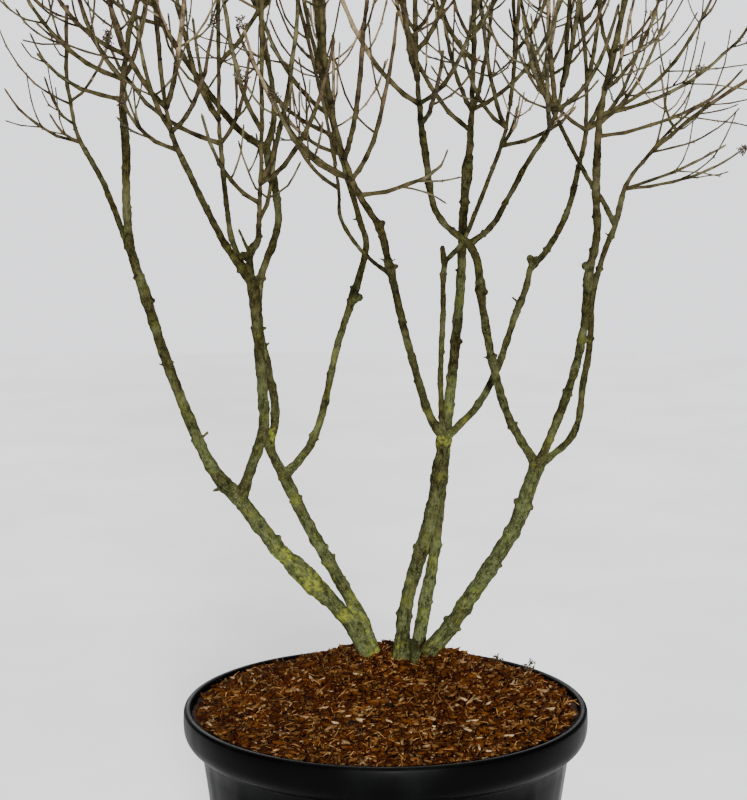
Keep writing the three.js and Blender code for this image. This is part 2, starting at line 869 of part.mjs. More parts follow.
const limbs = allLimbs();
const stems = limbs.filter(({ limb }) => limb.flare);
const plant = new THREE.Group();
plant.add(meshOf(potSolid(), "pot", "#26292c", 0.42));
plant.add(meshOf(mixSolid(), "potting_mix", "#2b1d12", 0.95));
plant.add(meshOf(mulchSolid(stems.map(({ grown }) => grown)), "bark_mulch", "#8a4f26", 0.92));
for (const { limb, solid } of limbs) {
  plant.add(meshOf(solid, limb.name, BARK, 0.85));
}
for (const grown of allMasses()) {
  plant.add(meshOf(massSolid(grown, limbs), grown.mass.name, TWIG_BARK, 0.8));
}

export default plant;
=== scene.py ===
# A panicle hydrangea, bare in winter, in a round nursery pot mulched with bark.
# Metres, +Z up, in the frame of the packed model: the origin is the middle of the pot's underside.
import functools
import math
from collections import namedtuple

import bmesh
import bpy
import numpy as np
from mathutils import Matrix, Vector, kdtree, noise


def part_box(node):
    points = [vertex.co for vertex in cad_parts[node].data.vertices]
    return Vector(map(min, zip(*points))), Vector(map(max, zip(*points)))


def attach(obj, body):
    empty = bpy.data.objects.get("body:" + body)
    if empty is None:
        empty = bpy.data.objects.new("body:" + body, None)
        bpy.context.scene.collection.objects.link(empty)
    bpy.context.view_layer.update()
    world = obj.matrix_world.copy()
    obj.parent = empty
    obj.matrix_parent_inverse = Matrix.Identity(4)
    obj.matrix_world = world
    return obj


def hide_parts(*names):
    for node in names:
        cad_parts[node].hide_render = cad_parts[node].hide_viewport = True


bl_info = {
    "name": "Bare panicle hydrangea",
    "version": (1, 0, 0),
    "blender": (4, 5, 0),
    "location": "View3D > Sidebar > Hydrangea",
    "description": "Dresses the packed hydrangea: bark, twigs, dried flower heads, mulch, pot and stage",
    "category": "Add Mesh",
}

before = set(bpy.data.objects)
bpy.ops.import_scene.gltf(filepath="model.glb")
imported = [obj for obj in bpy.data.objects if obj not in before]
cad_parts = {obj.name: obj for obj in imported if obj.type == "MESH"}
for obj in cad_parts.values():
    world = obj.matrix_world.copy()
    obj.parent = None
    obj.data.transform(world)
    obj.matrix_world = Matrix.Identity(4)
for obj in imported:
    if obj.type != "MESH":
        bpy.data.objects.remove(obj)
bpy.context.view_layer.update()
RIM_RADIUS, _, POT_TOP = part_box("pot")[1]

# Sizes shared with the part's source: pot and mulch
GAP = 0.0003
MIX_TOP = 0.455
MULCH_EDGE = 0.524
MOUND_HEIGHT = 0.066
MOUND_SPREAD = 0.17
MOUND_CENTRE = (0.02, 0.14)
MOUND_EDGE_SHARE = 0.33
BASE_RADIUS = 0.268
BODY_TOP_RADIUS = 0.334
BODY_TOP = 0.47
BAND_BOTTOM = 0.508
BAND_LIP = 0.015
WALL = 0.005
FLOOR = 0.007
DRAINS = 6
DRAIN_RADIUS = 0.009
DRAIN_RING = 0.205

# Sizes shared with the part's source: stems, boughs and their masses of twigs
STEM_CUT = 0.583
LIMB_RING = 0.08
FLARE_FADE = 22
NEAR_END = 0.98
STEM_INSIDE = 0.002
STEM_FORWARD = 0.26
STEM_TIP = 0.0022
STEM_RINGS = 6
LONG_RINGS = 4
SHORT_RINGS = 3
FIRST_NODE = 0.026
NODE_STEP = 0.06
LEAVING = (0.25, 0.52)
STEEPNESS = 1.3
HIGHEST_LEAVING = 0.6
NEAR_TIP = 0.04
SHOOT_RADII = (0.0023, 0.0038)
LONG_REACH = 0.6
STEM_SHARE = 0.8
OUTWARD = 0.7
UPWARD = 0.2
PAIRS_AT = (0.42, 0.72)
SECOND_PAIR_FROM = 0.3
SPREAD = (0.62, 0.95)
TURN_VARY = 0.3
TWIG_SHARE = 0.42
TWIG_FADE = 1.2
TWIG_LEAST = 0.045
TWIG_VARY = (0.75, 1.25)
TWIG_LIFT = 0.22
TWIG_THICKNESS = 0.48
TWIG_RADIUS = 0.0012
TWIG_CLEAR = 0.011
SAMPLE_STEP = 0.012
TIP_RADIUS = 0.0009
HEAD_CHANCE = 0.14
HEAD_RAYS = 3
SHOOT_SEED = (101, 37)
TWIG_SEED = (5003, 911)
DRAW_FACTOR = 16807
DRAW_RANGE = 2147483647

Limb = namedtuple("Limb", "name radii places flare swellings", defaults=(0, ()))
Mass = namedtuple("Mass", "name bough fork shoots")
Twig = namedtuple("Twig", "start reach bend radii")

# Stems and boughs, from the foot up. Each goes through its few places with an even taper.
# A swelling is its share of the length, its extra radius and the share that it spreads over.
LIMBS = (
    Limb(
        "stem_outer_left", radii=(0.0145, 0.0135), flare=0.0025, swellings=((0.54, 0.0055, 0.1),),
        places=(
            (-0.02, 0.131, 0.56), (-0.062, 0.125, 0.651), (-0.132, 0.115, 0.73), (-0.202, 0.106, 0.806),
            (-0.268, 0.095, 0.898),
        ),
    ),
    Limb(
        "stem_inner_left", radii=(0.0118, 0.011), flare=0.002, swellings=((1, 0.0015, 0.05),),
        places=(
            (-0.018, 0.14, 0.56), (-0.036, 0.138, 0.64), (-0.099, 0.145, 0.757), (-0.138, 0.151, 0.826),
            (-0.189, 0.16, 0.927),
        ),
    ),
    Limb(
        "stem_middle_front", radii=(0.0128, 0.0122), flare=0.0035,
        swellings=((0.62, 0.002, 0.03), (0.8, 0.0022, 0.06), (1, 0.003, 0.05)),
        places=(
            (0.025, 0.105, 0.56), (0.037, 0.1, 0.686), (0.055, 0.095, 0.763), (0.082, 0.09, 0.858),
            (0.099, 0.084, 0.953), (0.106, 0.08, 1.012),
        ),
    ),
    Limb(
        "stem_middle_back", radii=(0.0128, 0.0072), flare=0.003,
        swellings=((0.45, 0.0012, 0.02), (0.94, 0.0032, 0.05)),
        places=(
            (0.056, 0.172, 0.56), (0.077, 0.194, 0.681), (0.094, 0.213, 0.773), (0.118, 0.262, 1.006),
            (0.143, 0.312, 1.249), (0.151, 0.345, 1.41), (0.161, 0.366, 1.513),
        ),
    ),
    Limb(
        "stem_right", radii=(0.0155, 0.0132), flare=0.0035,
        swellings=((0.3, 0.0015, 0.05), (1, 0.0025, 0.05)),
        places=(
            (0.058, 0.134, 0.56), (0.084, 0.13, 0.601), (0.13, 0.123, 0.661), (0.232, 0.103, 0.831),
            (0.261, 0.095, 0.913), (0.277, 0.09, 0.959),
        ),
    ),
    Limb(
        "cut_stub", radii=(0.0095, 0.009), flare=0.002,
        places=(
            (0.056, 0.099, 0.56), (0.054, 0.098, 0.6), (0.051, 0.095, 0.628),
        ),
    ),
    Limb(
        "bough_far_left", radii=(0.011, 0.008), swellings=((0.12, 0.002, 0.06), (0.76, 0.0024, 0.04)),
        places=(
            (-0.267, 0.095, 0.896), (-0.318, 0.09, 0.957), (-0.358, 0.083, 1.052), (-0.401, 0.074, 1.171),
            (-0.436, 0.065, 1.293), (-0.457, 0.06, 1.361),
        ),
    ),
    Limb(
        "bough_far_left_upper", radii=(0.0078, 0.0068), swellings=((0.66, 0.001, 0.06),),
        places=(
            (-0.457, 0.06, 1.358), (-0.457, 0.029, 1.464), (-0.453, 0.008, 1.535), (-0.455, -0.014, 1.61),
        ),
    ),
    Limb(
        "bough_far_left_outer", radii=(0.0054, 0.0048),
        places=(
            (-0.458, 0.06, 1.358), (-0.494, 0.093, 1.446), (-0.519, 0.113, 1.495), (-0.544, 0.13, 1.534),
        ),
    ),
    Limb(
        "bough_left", radii=(0.0102, 0.0088), swellings=((1, 0.002, 0.05),),
        places=(
            (-0.267, 0.095, 0.896), (-0.243, 0.08, 0.961), (-0.221, 0.061, 1.034), (-0.221, 0.04, 1.116),
            (-0.233, -0.01, 1.302),
        ),
    ),
    Limb(
        "bough_left_outer", radii=(0.0066, 0.0052),
        places=(
            (-0.234, -0.01, 1.299), (-0.271, -0.041, 1.361), (-0.298, -0.075, 1.418),
            (-0.344, -0.14, 1.529),
        ),
    ),
    Limb(
        "bough_left_middle", radii=(0.0054, 0.0046),
        places=(
            (-0.234, -0.008, 1.3), (-0.266, -0.001, 1.368), (-0.277, 0.008, 1.421), (-0.286, 0.02, 1.498),
        ),
    ),
    Limb(
        "bough_left_front", radii=(0.0062, 0.0046), swellings=((0.5, 0.002, 0.1),),
        places=(
            (-0.233, -0.012, 1.3), (-0.236, -0.047, 1.354), (-0.22, -0.08, 1.384), (-0.216, -0.11, 1.414),
        ),
    ),
    Limb(
        "bough_inner_left", radii=(0.0084, 0.0068),
        swellings=((0.13, 0.0012, 0.04), (0.96, 0.0015, 0.03)),
        places=(
            (-0.188, 0.16, 0.925), (-0.215, 0.167, 0.982), (-0.206, 0.173, 1.019), (-0.205, 0.178, 1.058),
            (-0.215, 0.185, 1.113), (-0.233, 0.195, 1.2), (-0.232, 0.201, 1.289), (-0.198, 0.215, 1.4),
            (-0.221, 0.23, 1.533),
        ),
    ),
    Limb(
        "bough_inner_left_upright", radii=(0.0056, 0.0046),
        places=(
            (-0.221, 0.23, 1.53), (-0.207, 0.25, 1.58), (-0.211, 0.273, 1.646), (-0.227, 0.305, 1.733),
        ),
    ),
    Limb(
        "bough_inner_left_slanting", radii=(0.0064, 0.0052),
        places=(
            (-0.221, 0.23, 1.53), (-0.256, 0.237, 1.551), (-0.294, 0.248, 1.589), (-0.352, 0.267, 1.665),
            (-0.408, 0.286, 1.746),
        ),
    ),
    Limb(
        "bough_centre_left", radii=(0.0078, 0.0052),
        swellings=((0.22, 0.0008, 0.02), (0.59, 0.0022, 0.025)),
        places=(
            (-0.188, 0.16, 0.926), (-0.142, 0.179, 0.978), (-0.116, 0.201, 1.045), (-0.089, 0.238, 1.163),
            (-0.038, 0.29, 1.328), (-0.048, 0.31, 1.393), (-0.082, 0.345, 1.505),
        ),
    ),
    Limb(
        "bough_centre", radii=(0.0074, 0.0058), swellings=((0.52, 0.0018, 0.02), (0.775, 0.0016, 0.018)),
        places=(
            (0.105, 0.08, 1.01), (0.076, 0.06, 1.065), (0.053, 0.022, 1.144), (0.033, -0.012, 1.218),
            (0.016, -0.052, 1.294), (0.004, -0.078, 1.346), (-0.004, -0.098, 1.382),
            (-0.011, -0.108, 1.407), (-0.026, -0.122, 1.432), (-0.041, -0.143, 1.456),
        ),
    ),
    Limb(
        "bough_centre_side", radii=(0.0038, 0.0032),
        places=(
            (0.008, -0.067, 1.322), (-0.042, -0.042, 1.362), (-0.078, -0.012, 1.414),
            (-0.082, 0.005, 1.457),
        ),
    ),
    Limb(
        "bough_upright", radii=(0.0054, 0.0039), swellings=((0.46, 0.0018, 0.03),),
        places=(
            (0.104, 0.081, 1.01), (0.1, 0.092, 1.12), (0.104, 0.111, 1.226), (0.106, 0.126, 1.318),
            (0.116, 0.136, 1.336), (0.142, 0.15, 1.365), (0.171, 0.172, 1.431), (0.209, 0.2, 1.525),
        ),
    ),
    Limb(
        "bough_crossing_back", radii=(0.0068, 0.0052),
        swellings=((0.34, 0.0008, 0.02), (0.53, 0.0028, 0.022)),
        places=(
            (0.107, 0.08, 1.01), (0.166, 0.118, 1.063), (0.206, 0.161, 1.126), (0.241, 0.216, 1.216),
            (0.264, 0.248, 1.267), (0.276, 0.27, 1.307), (0.301, 0.286, 1.33), (0.329, 0.312, 1.37),
            (0.353, 0.34, 1.419), (0.368, 0.37, 1.471), (0.382, 0.4, 1.518),
        ),
    ),
    Limb(
        "bough_centre_right", radii=(0.0078, 0.007), swellings=((0.68, 0.0016, 0.03), (1, 0.002, 0.06)),
        places=(
            (0.277, 0.09, 0.957), (0.225, 0.074, 1.048), (0.196, 0.057, 1.137), (0.173, 0.035, 1.251),
            (0.161, 0.017, 1.338), (0.146, 0.01, 1.372),
        ),
    ),
    Limb(
        "bough_centre_right_inner", radii=(0.0058, 0.0056), swellings=((1, 0.0015, 0.12),),
        places=(
            (0.147, 0.01, 1.37), (0.123, 0.002, 1.388), (0.097, -0.008, 1.413), (0.079, -0.021, 1.451),
            (0.07, -0.04, 1.511), (0.061, -0.06, 1.569),
        ),
    ),
    Limb(
        "bough_centre_right_outer", radii=(0.0054, 0.0042),
        places=(
            (0.147, 0.01, 1.37), (0.184, -0.026, 1.405), (0.207, -0.068, 1.452), (0.236, -0.126, 1.516),
            (0.265, -0.17, 1.567),
        ),
    ),
    Limb(
        "bough_right", radii=(0.008, 0.0062), swellings=((0.56, 0.0022, 0.03),),
        places=(
            (0.278, 0.088, 0.957), (0.314, 0.05, 1.065), (0.337, 0.008, 1.156), (0.347, -0.031, 1.241),
            (0.349, -0.07, 1.323), (0.358, -0.105, 1.395), (0.351, -0.144, 1.473), (0.348, -0.182, 1.552),
        ),
    ),
    Limb(
        "bough_far_right", radii=(0.0066, 0.005), swellings=((0.92, 0.001, 0.04),),
        places=(
            (0.278, 0.092, 0.957), (0.344, 0.106, 1.016), (0.362, 0.126, 1.103), (0.376, 0.146, 1.184),
            (0.38, 0.163, 1.256), (0.401, 0.182, 1.335), (0.424, 0.197, 1.391), (0.438, 0.211, 1.445),
        ),
    ),
    Limb(
        "bough_far_right_inner", radii=(0.0046, 0.0039),
        places=(
            (0.424, 0.198, 1.39), (0.403, 0.216, 1.433), (0.377, 0.236, 1.473), (0.342, 0.271, 1.542),
            (0.325, 0.3, 1.58),
        ),
    ),
)

# Masses of twigs: the bough each grows on, the way from that bough's tip to the mass's lowest fork,
# and how far its leading shoots reach from there. The longest is its stem, which the others grow
# on. A fourth value is the share of its rise that a shoot makes early on.
MASSES = (
    Mass(
        "twigs_far_left_upper", bough="bough_far_left_upper", fork=(0.003, -0.024, 0.072),
        shoots=(
            (0.15, -0.1, 0.43), (-0.1, -0.02, 0.27), (0.04, 0.12, 0.21), (-0.2, 0.08, 0.18),
            (-0.16, 0.1, 0.02), (-0.14, -0.09, 0.21), (-0.05, 0.03, 0.38),
        ),
    ),
    Mass(
        "twigs_far_left_outer", bough="bough_far_left_outer", fork=(-0.014, 0.008, 0.02),
        shoots=(
            (-0.13, 0.02, 0.085), (-0.045, -0.01, 0.04), (0.06, 0.09, 0.22), (-0.05, -0.03, 0.105),
            (-0.04, 0.19, 0.24),
        ),
    ),
    Mass(
        "twigs_left_outer", bough="bough_left_outer", fork=(-0.01, -0.014, 0.025),
        shoots=(
            (-0.08, -0.02, 0.06), (-0.05, -0.11, 0.22), (0.04, -0.1, 0.4), (-0.1, -0.18, 0.32),
            (-0.02, -0.03, 0.54), (0.08, -0.18, 0.18),
        ),
    ),
    Mass(
        "twigs_left_middle", bough="bough_left_middle", fork=(0.002, 0.006, 0.026),
        shoots=(
            (-0.2, 0.03, 0.19), (0.14, 0.02, 0.55), (-0.09, -0.06, 0.4), (0.045, 0.01, 0.17),
            (0.01, 0.04, 0.63), (-0.06, 0.1, 0.24),
        ),
    ),
    Mass(
        "twigs_left_front", bough="bough_left_front", fork=(0.002, -0.012, 0.024),
        shoots=(
            (0.08, -0.08, 0.45), (-0.06, -0.16, 0.47), (0.03, -0.02, 0.11), (-0.09, -0.06, 0.16),
            (0.13, -0.18, 0.28), (0.02, -0.21, 0.56),
        ),
    ),
    Mass(
        "twigs_inner_left_upright", bough="bough_inner_left_upright", fork=(-0.006, 0.012, 0.034),
        shoots=(
            (0, 0.05, 0.32), (-0.05, 0.17, 0.2), (0.06, 0, 0.19), (-0.07, 0, 0.37), (0.02, 0.19, 0.17),
        ),
    ),
    Mass(
        "twigs_inner_left_slanting", bough="bough_inner_left_slanting", fork=(-0.02, 0.008, 0.03),
        shoots=(
            (-0.1, 0.03, 0.27), (-0.03, 0.1, 0.36), (0.05, 0.01, 0.3), (-0.12, -0.05, 0.08),
            (-0.09, 0.15, 0.17),
        ),
    ),
    Mass(
        "twigs_centre_left", bough="bough_centre_left", fork=(-0.008, 0.014, 0.036),
        shoots=(
            (-0.19, 0.05, 0.4), (-0.13, 0.09, 0.58), (-0.03, 0.13, 0.45), (-0.11, -0.02, 0.07),
            (-0.2, 0.13, 0.22), (-0.05, 0.21, 0.3),
        ),
    ),
    Mass(
        "twigs_centre", bough="bough_centre", fork=(-0.038, -0.044, 0.078),
        shoots=(
            (0.095, -0.04, 0.23), (-0.15, -0.08, 0.2), (-0.03, -0.2, 0.4), (-0.06, -0.07, 0.52),
            (0.17, 0.06, -0.02), (0.05, -0.21, 0.33), (-0.1, -0.14, 0.09),
        ),
    ),
    Mass(
        "twigs_centre_side", bough="bough_centre_side", fork=(-0.001, 0.006, 0.018),
        shoots=(
            (-0.07, -0.02, 0.32), (-0.1, 0.03, 0.14), (-0.01, 0.05, 0.26),
        ),
    ),
    Mass(
        "twigs_upright", bough="bough_upright", fork=(0.008, 0.006, 0.022),
        shoots=(
            (-0.05, 0.03, 0.35), (0.025, -0.01, 0.06), (0.13, -0.01, 0.06), (0.03, -0.02, 0.47),
            (-0.08, -0.01, 0.18), (-0.01, 0.07, 0.6),
        ),
    ),
    Mass(
        "twigs_middle_back", bough="stem_middle_back", fork=(0.003, 0.006, 0.026),
        shoots=(
            (-0.17, 0.08, 0.4), (-0.13, -0.02, 0.53), (0, 0.09, 0.69), (0.12, 0.07, 0.58),
            (0.2, 0.15, 0.32), (-0.06, 0.21, 0.38), (0.06, 0.23, 0.38),
        ),
    ),
    Mass(
        "twigs_centre_right_inner", bough="bough_centre_right_inner", fork=(-0.004, -0.01, 0.032),
        shoots=(
            (-0.17, -0.06, 0.33), (-0.06, -0.03, 0.45), (-0.01, -0.11, 0.53), (0.08, -0.05, 0.38),
            (0.09, -0.16, 0.18), (-0.04, -0.25, 0.3), (0.03, -0.25, 0.1),
        ),
    ),
    Mass(
        "twigs_centre_right_outer", bough="bough_centre_right_outer", fork=(0.01, -0.012, 0.018),
        shoots=(
            (-0.02, -0.05, 0.35), (0.1, -0.04, 0.19), (0.03, -0.15, 0.29), (-0.06, -0.12, 0.17),
            (0.01, 0.02, 0.47), (-0.03, -0.22, 0.11),
        ),
    ),
    Mass(
        "twigs_right", bough="bough_right", fork=(0.002, -0.008, 0.03),
        shoots=(
            (0.2, -0.02, 0.27), (0.11, -0.07, 0.47), (0.27, 0.03, 0.2), (-0.02, 0.02, 0.42),
            (0.24, 0.05, 0.09), (0.03, -0.22, 0.24), (0.13, 0.12, 0.3),
        ),
    ),
    Mass(
        "twigs_far_right", bough="bough_far_right", fork=(0.004, 0.004, 0.018),
        shoots=(
            (0.25, 0.05, 0.205, 0.7), (0.18, -0.02, 0.075, 0.5), (0.14, 0.02, 0.145, 0.9),
            (0.215, 0.04, 0.06), (0.08, 0.13, 0.22),
        ),
    ),
    Mass(
        "twigs_far_right_inner", bough="bough_far_right_inner", fork=(-0.006, 0.008, 0.024),
        shoots=(
            (0.02, 0, 0.43), (0.06, 0.01, 0.39), (-0.09, -0.04, 0.18), (-0.14, 0.03, 0.55),
            (0.12, 0.09, 0.24),
        ),
    ),
    Mass(
        "twigs_crossing_back", bough="bough_crossing_back", fork=(0.005, 0.012, 0.026),
        shoots=(
            (0.09, 0.06, 0.36), (-0.05, 0.06, 0.55), (-0.11, 0.09, 0.21), (0.16, 0.06, 0.24),
            (0.04, 0.04, 0.44), (0.13, 0.18, 0.2),
        ),
    ),
)


# Growth, by the rule of the part's source

NEARLY_UPRIGHT = 0.9


def mix(a, b, t):
    return a + (b - a) * t


def unit(vector):
    return vector / np.linalg.norm(vector)


def unit_rows(vectors):
    return vectors / np.linalg.norm(vectors, axis=1)[:, None]


def away_from(way):
    return np.array((0.0, 0.0, 1.0)) if abs(way[2]) < NEARLY_UPRIGHT else np.array((1.0, 0.0, 0.0))


def turned(way, turn):
    """A direction square to a given one, at a turn round it"""
    side = unit(np.cross(way, away_from(way)))
    return side * math.cos(turn) + np.cross(way, side) * math.sin(turn)


def bell(distance, width):
    """1 in the middle of a bump, fading to nothing beyond its width"""
    return math.exp(-((distance / width) ** 2))


def random_run(seed):
    """A run of even random numbers that is the same every time"""
    state = seed

    def draw():
        nonlocal state
        state = state * DRAW_FACTOR % DRAW_RANGE
        return state / DRAW_RANGE

    return draw


def tree_of(places):
    """A search tree that finds the number of the nearest of some places"""
    tree = kdtree.KDTree(len(places))
    for number, place in enumerate(places):
        tree.insert(place, number)
    tree.balance()
    return tree


def along(places, t):
    """The place a share t of the way along a smooth curve through the given places"""
    last = len(places) - 1
    index = min(int(t * last), last - 1)
    w = t * last - index
    p1 = np.array(places[index])
    p2 = np.array(places[index + 1])
    p0 = np.array(places[index - 1]) if index > 0 else 2 * p1 - p2
    p3 = np.array(places[index + 2]) if index + 2 <= last else 2 * p2 - p1
    tangent1 = (p2 - p0) / 2
    tangent2 = (p3 - p1) / 2
    cubic = 2 * p1 - 2 * p2 + tangent1 + tangent2
    square = -3 * p1 + 3 * p2 - 2 * tangent1 - tangent2
    return cubic * w**3 + square * w**2 + tangent1 * w + p1


def limb_named(name):
    return next(limb for limb in LIMBS if limb.name == name)


def limb_line(limb, ring_step):
    """A limb's centre line, and its radius at each ring"""
    spans = len(limb.places) - 1
    points, radii = [], []
    for span in range(spans):
        length = np.linalg.norm(np.subtract(limb.places[span + 1], limb.places[span]))
        rings = max(1, int(length / ring_step + 0.5))
        for ring in range(0 if span == 0 else 1, rings + 1):
            t = (span + ring / rings) / spans
            radius = mix(limb.radii[0], limb.radii[1], t) + limb.flare * math.exp(-t * FLARE_FADE)
            radius += sum(extra * bell(t - at, width) for at, extra, width in limb.swellings)
            points.append(along(limb.places, t))
            radii.append(radius)
    return np.array(points), np.array(radii)


def shoot_line(twig, steps, start=0):
    """Places along a twig, which sets out towards its bend, and its radius at each"""
    t = np.linspace(start, 1, steps + 1)[:, None]
    bend = twig.start + twig.bend
    end = twig.start + twig.reach
    points = mix(mix(twig.start, bend, t), mix(bend, end, t), t)
    return points, mix(twig.radii[0], twig.radii[1], t[:, 0])


def shoot(start, reach, radii, early=UPWARD):
    """A twig that leaves outward and curves up to the end of its reach"""
    return Twig(start, reach, reach * (OUTWARD, OUTWARD, early), radii)


def samples(points, radii):
    """Places along a line, close enough together to test what it would touch, with their radii"""
    out = []
    for i in range(len(points) - 1):
        span = points[i + 1] - points[i]
        parts = math.ceil(np.linalg.norm(span) / SAMPLE_STEP)
        out += [(*(points[i] + span * (part / parts)), radii[i]) for part in range(parts)]
    out.append((*points[-1], radii[-1]))
    return np.array(out)


def coarse_rings(twig):
    """The stretches that the part's source makes a twig of"""
    if twig.radii[1] == STEM_TIP:
        return STEM_RINGS
    return LONG_RINGS if np.linalg.norm(twig.reach) > SECOND_PAIR_FROM else SHORT_RINGS


def leaders_of(mass, index):
    """A mass's stem, which is the longest of its shoots, and the others, which leave it at its nodes"""
    bough = limb_named(mass.bough)
    tangent = unit(along(bough.places, 1) - along(bough.places, NEAR_END))
    start = np.array(bough.places[-1]) - tangent * STEM_INSIDE
    fork = start + mass.fork
    longest = max(mass.shoots, key=lambda reach: np.linalg.norm(reach[:3]))
    reach = fork + longest[:3] - start
    length = np.linalg.norm(reach)
    stem = Twig(start, reach, tangent * STEM_FORWARD * length, (bough.radii[1], STEM_TIP))
    random = random_run(SHOOT_SEED[0] + SHOOT_SEED[1] * index)
    leaders = [stem]
    for ahead in mass.shoots:
        if ahead is longest:
            continue
        rise = min(1, max(0, ahead[2] / longest[2]))
        share = mix(*LEAVING, random()) * rise**STEEPNESS
        node = int(share * length / NODE_STEP + 0.5)
        up = min((FIRST_NODE + node * NODE_STEP) / length, HIGHEST_LEAVING)
        points, radii = shoot_line(stem, 1, up)
        reach = fork + ahead[:3] - points[0]
        girth = min(radii[0] * STEM_SHARE, mix(*SHOOT_RADII, np.linalg.norm(reach) / LONG_REACH))
        leaders.append(shoot(points[0], reach, (girth, TIP_RADIUS), *ahead[3:]))
    return leaders


def pair_at(points, radii, at, turn, usual, random):
    """Two opposite side twigs of a usual length, at a share of a line"""
    steps = len(points) - 1
    index = min(int(at * steps), steps - 1)
    tangent = unit(points[index + 1] - points[index])
    origin = mix(points[index], points[index + 1], at * steps - index)
    out = turned(tangent, turn)
    pair = []
    for sign in (1, -1):
        angle = mix(*SPREAD, random())
        length = usual * mix(*TWIG_VARY, random())
        reach = (tangent * math.cos(angle) + out * sign * math.sin(angle)) * length
        reach[2] += TWIG_LIFT * length
        radius = max(TWIG_RADIUS, radii[index] * TWIG_THICKNESS)
        pair.append(shoot(origin, reach, (radius, TIP_RADIUS)))
    return pair


def pairs_on(leader, random):
    """The source's opposite pairs on a leading shoot, each pair turned a quarter from the last"""
    points, radii = shoot_line(leader, coarse_rings(leader))
    reach = np.linalg.norm(points[-1] - points[0])
    twigs = []
    turn = random() * math.pi
    for at in PAIRS_AT[: 2 if reach > SECOND_PAIR_FROM else 1]:
        usual = TWIG_SHARE * reach * (TWIG_FADE - at) + TWIG_LEAST
        twigs += pair_at(points, radii, at, turn, usual, random)
        turn += math.pi / 2 + mix(-TURN_VARY, TURN_VARY, random())
    return twigs


class Space:
    """Tells which mass a place belongs to, and whether a line there would touch a limb"""

    def __init__(self, masses):
        marks, self.owners = [], []
        for owner, leaders in enumerate(masses):
            for leader in leaders:
                line = samples(*shoot_line(leader, coarse_rings(leader)))
                marks += [place[:3] for place in line]
                self.owners += [owner] * len(line)
        self.tree = tree_of(marks)
        lines = [samples(*limb_line(limb, LIMB_RING)) for limb in LIMBS]
        self.limb_marks = np.concatenate(lines)
        self.limb_names = np.repeat([limb.name for limb in LIMBS], [len(line) for line in lines])

    def limbs_for(self, bough, start):
        """The limb places that a mass's twigs keep clear of: all but its own bough's tip"""
        away = np.linalg.norm(self.limb_marks[:, :3] - start, axis=1)
        return self.limb_marks[(self.limb_names != bough) | (away >= NEAR_TIP)]

    def holds(self, path, owner, limbs):
        """Whether a path stays in its own mass's space and clear of the limbs"""
        if any(self.owners[self.tree.find(place[:3])[1]] != owner for place in path):
            return False
        away = np.linalg.norm(path[:, None, :3] - limbs[None, :, :3], axis=2)
        return not (away < limbs[None, :, 3] + path[:, None, 3] + TWIG_CLEAR).any()


# Meshes

TIP_ROUNDING = 0.6
BEAD_SUNK = 0.2
BEAD_FULLEST = 0.4
ON_AXIS = 1e-6


@functools.lru_cache(maxsize=None)
def tube_faces(rings, sides):
    """The faces of a closed tube whose rings come first, then its foot's middle and its tip"""
    quads, triangles = [], []
    foot = rings * sides
    for side in range(sides):
        beside = (side + 1) % sides
        for ring in range(rings - 1):
            low = ring * sides
            quads.append((low + side, low + beside, low + sides + beside, low + sides + side))
        triangles.append((foot, beside, side))
        last = (rings - 1) * sides
        triangles.append((last + side, last + beside, foot + 1))
    return np.array(quads, dtype=int).reshape(-1, 4), np.array(triangles, dtype=int)


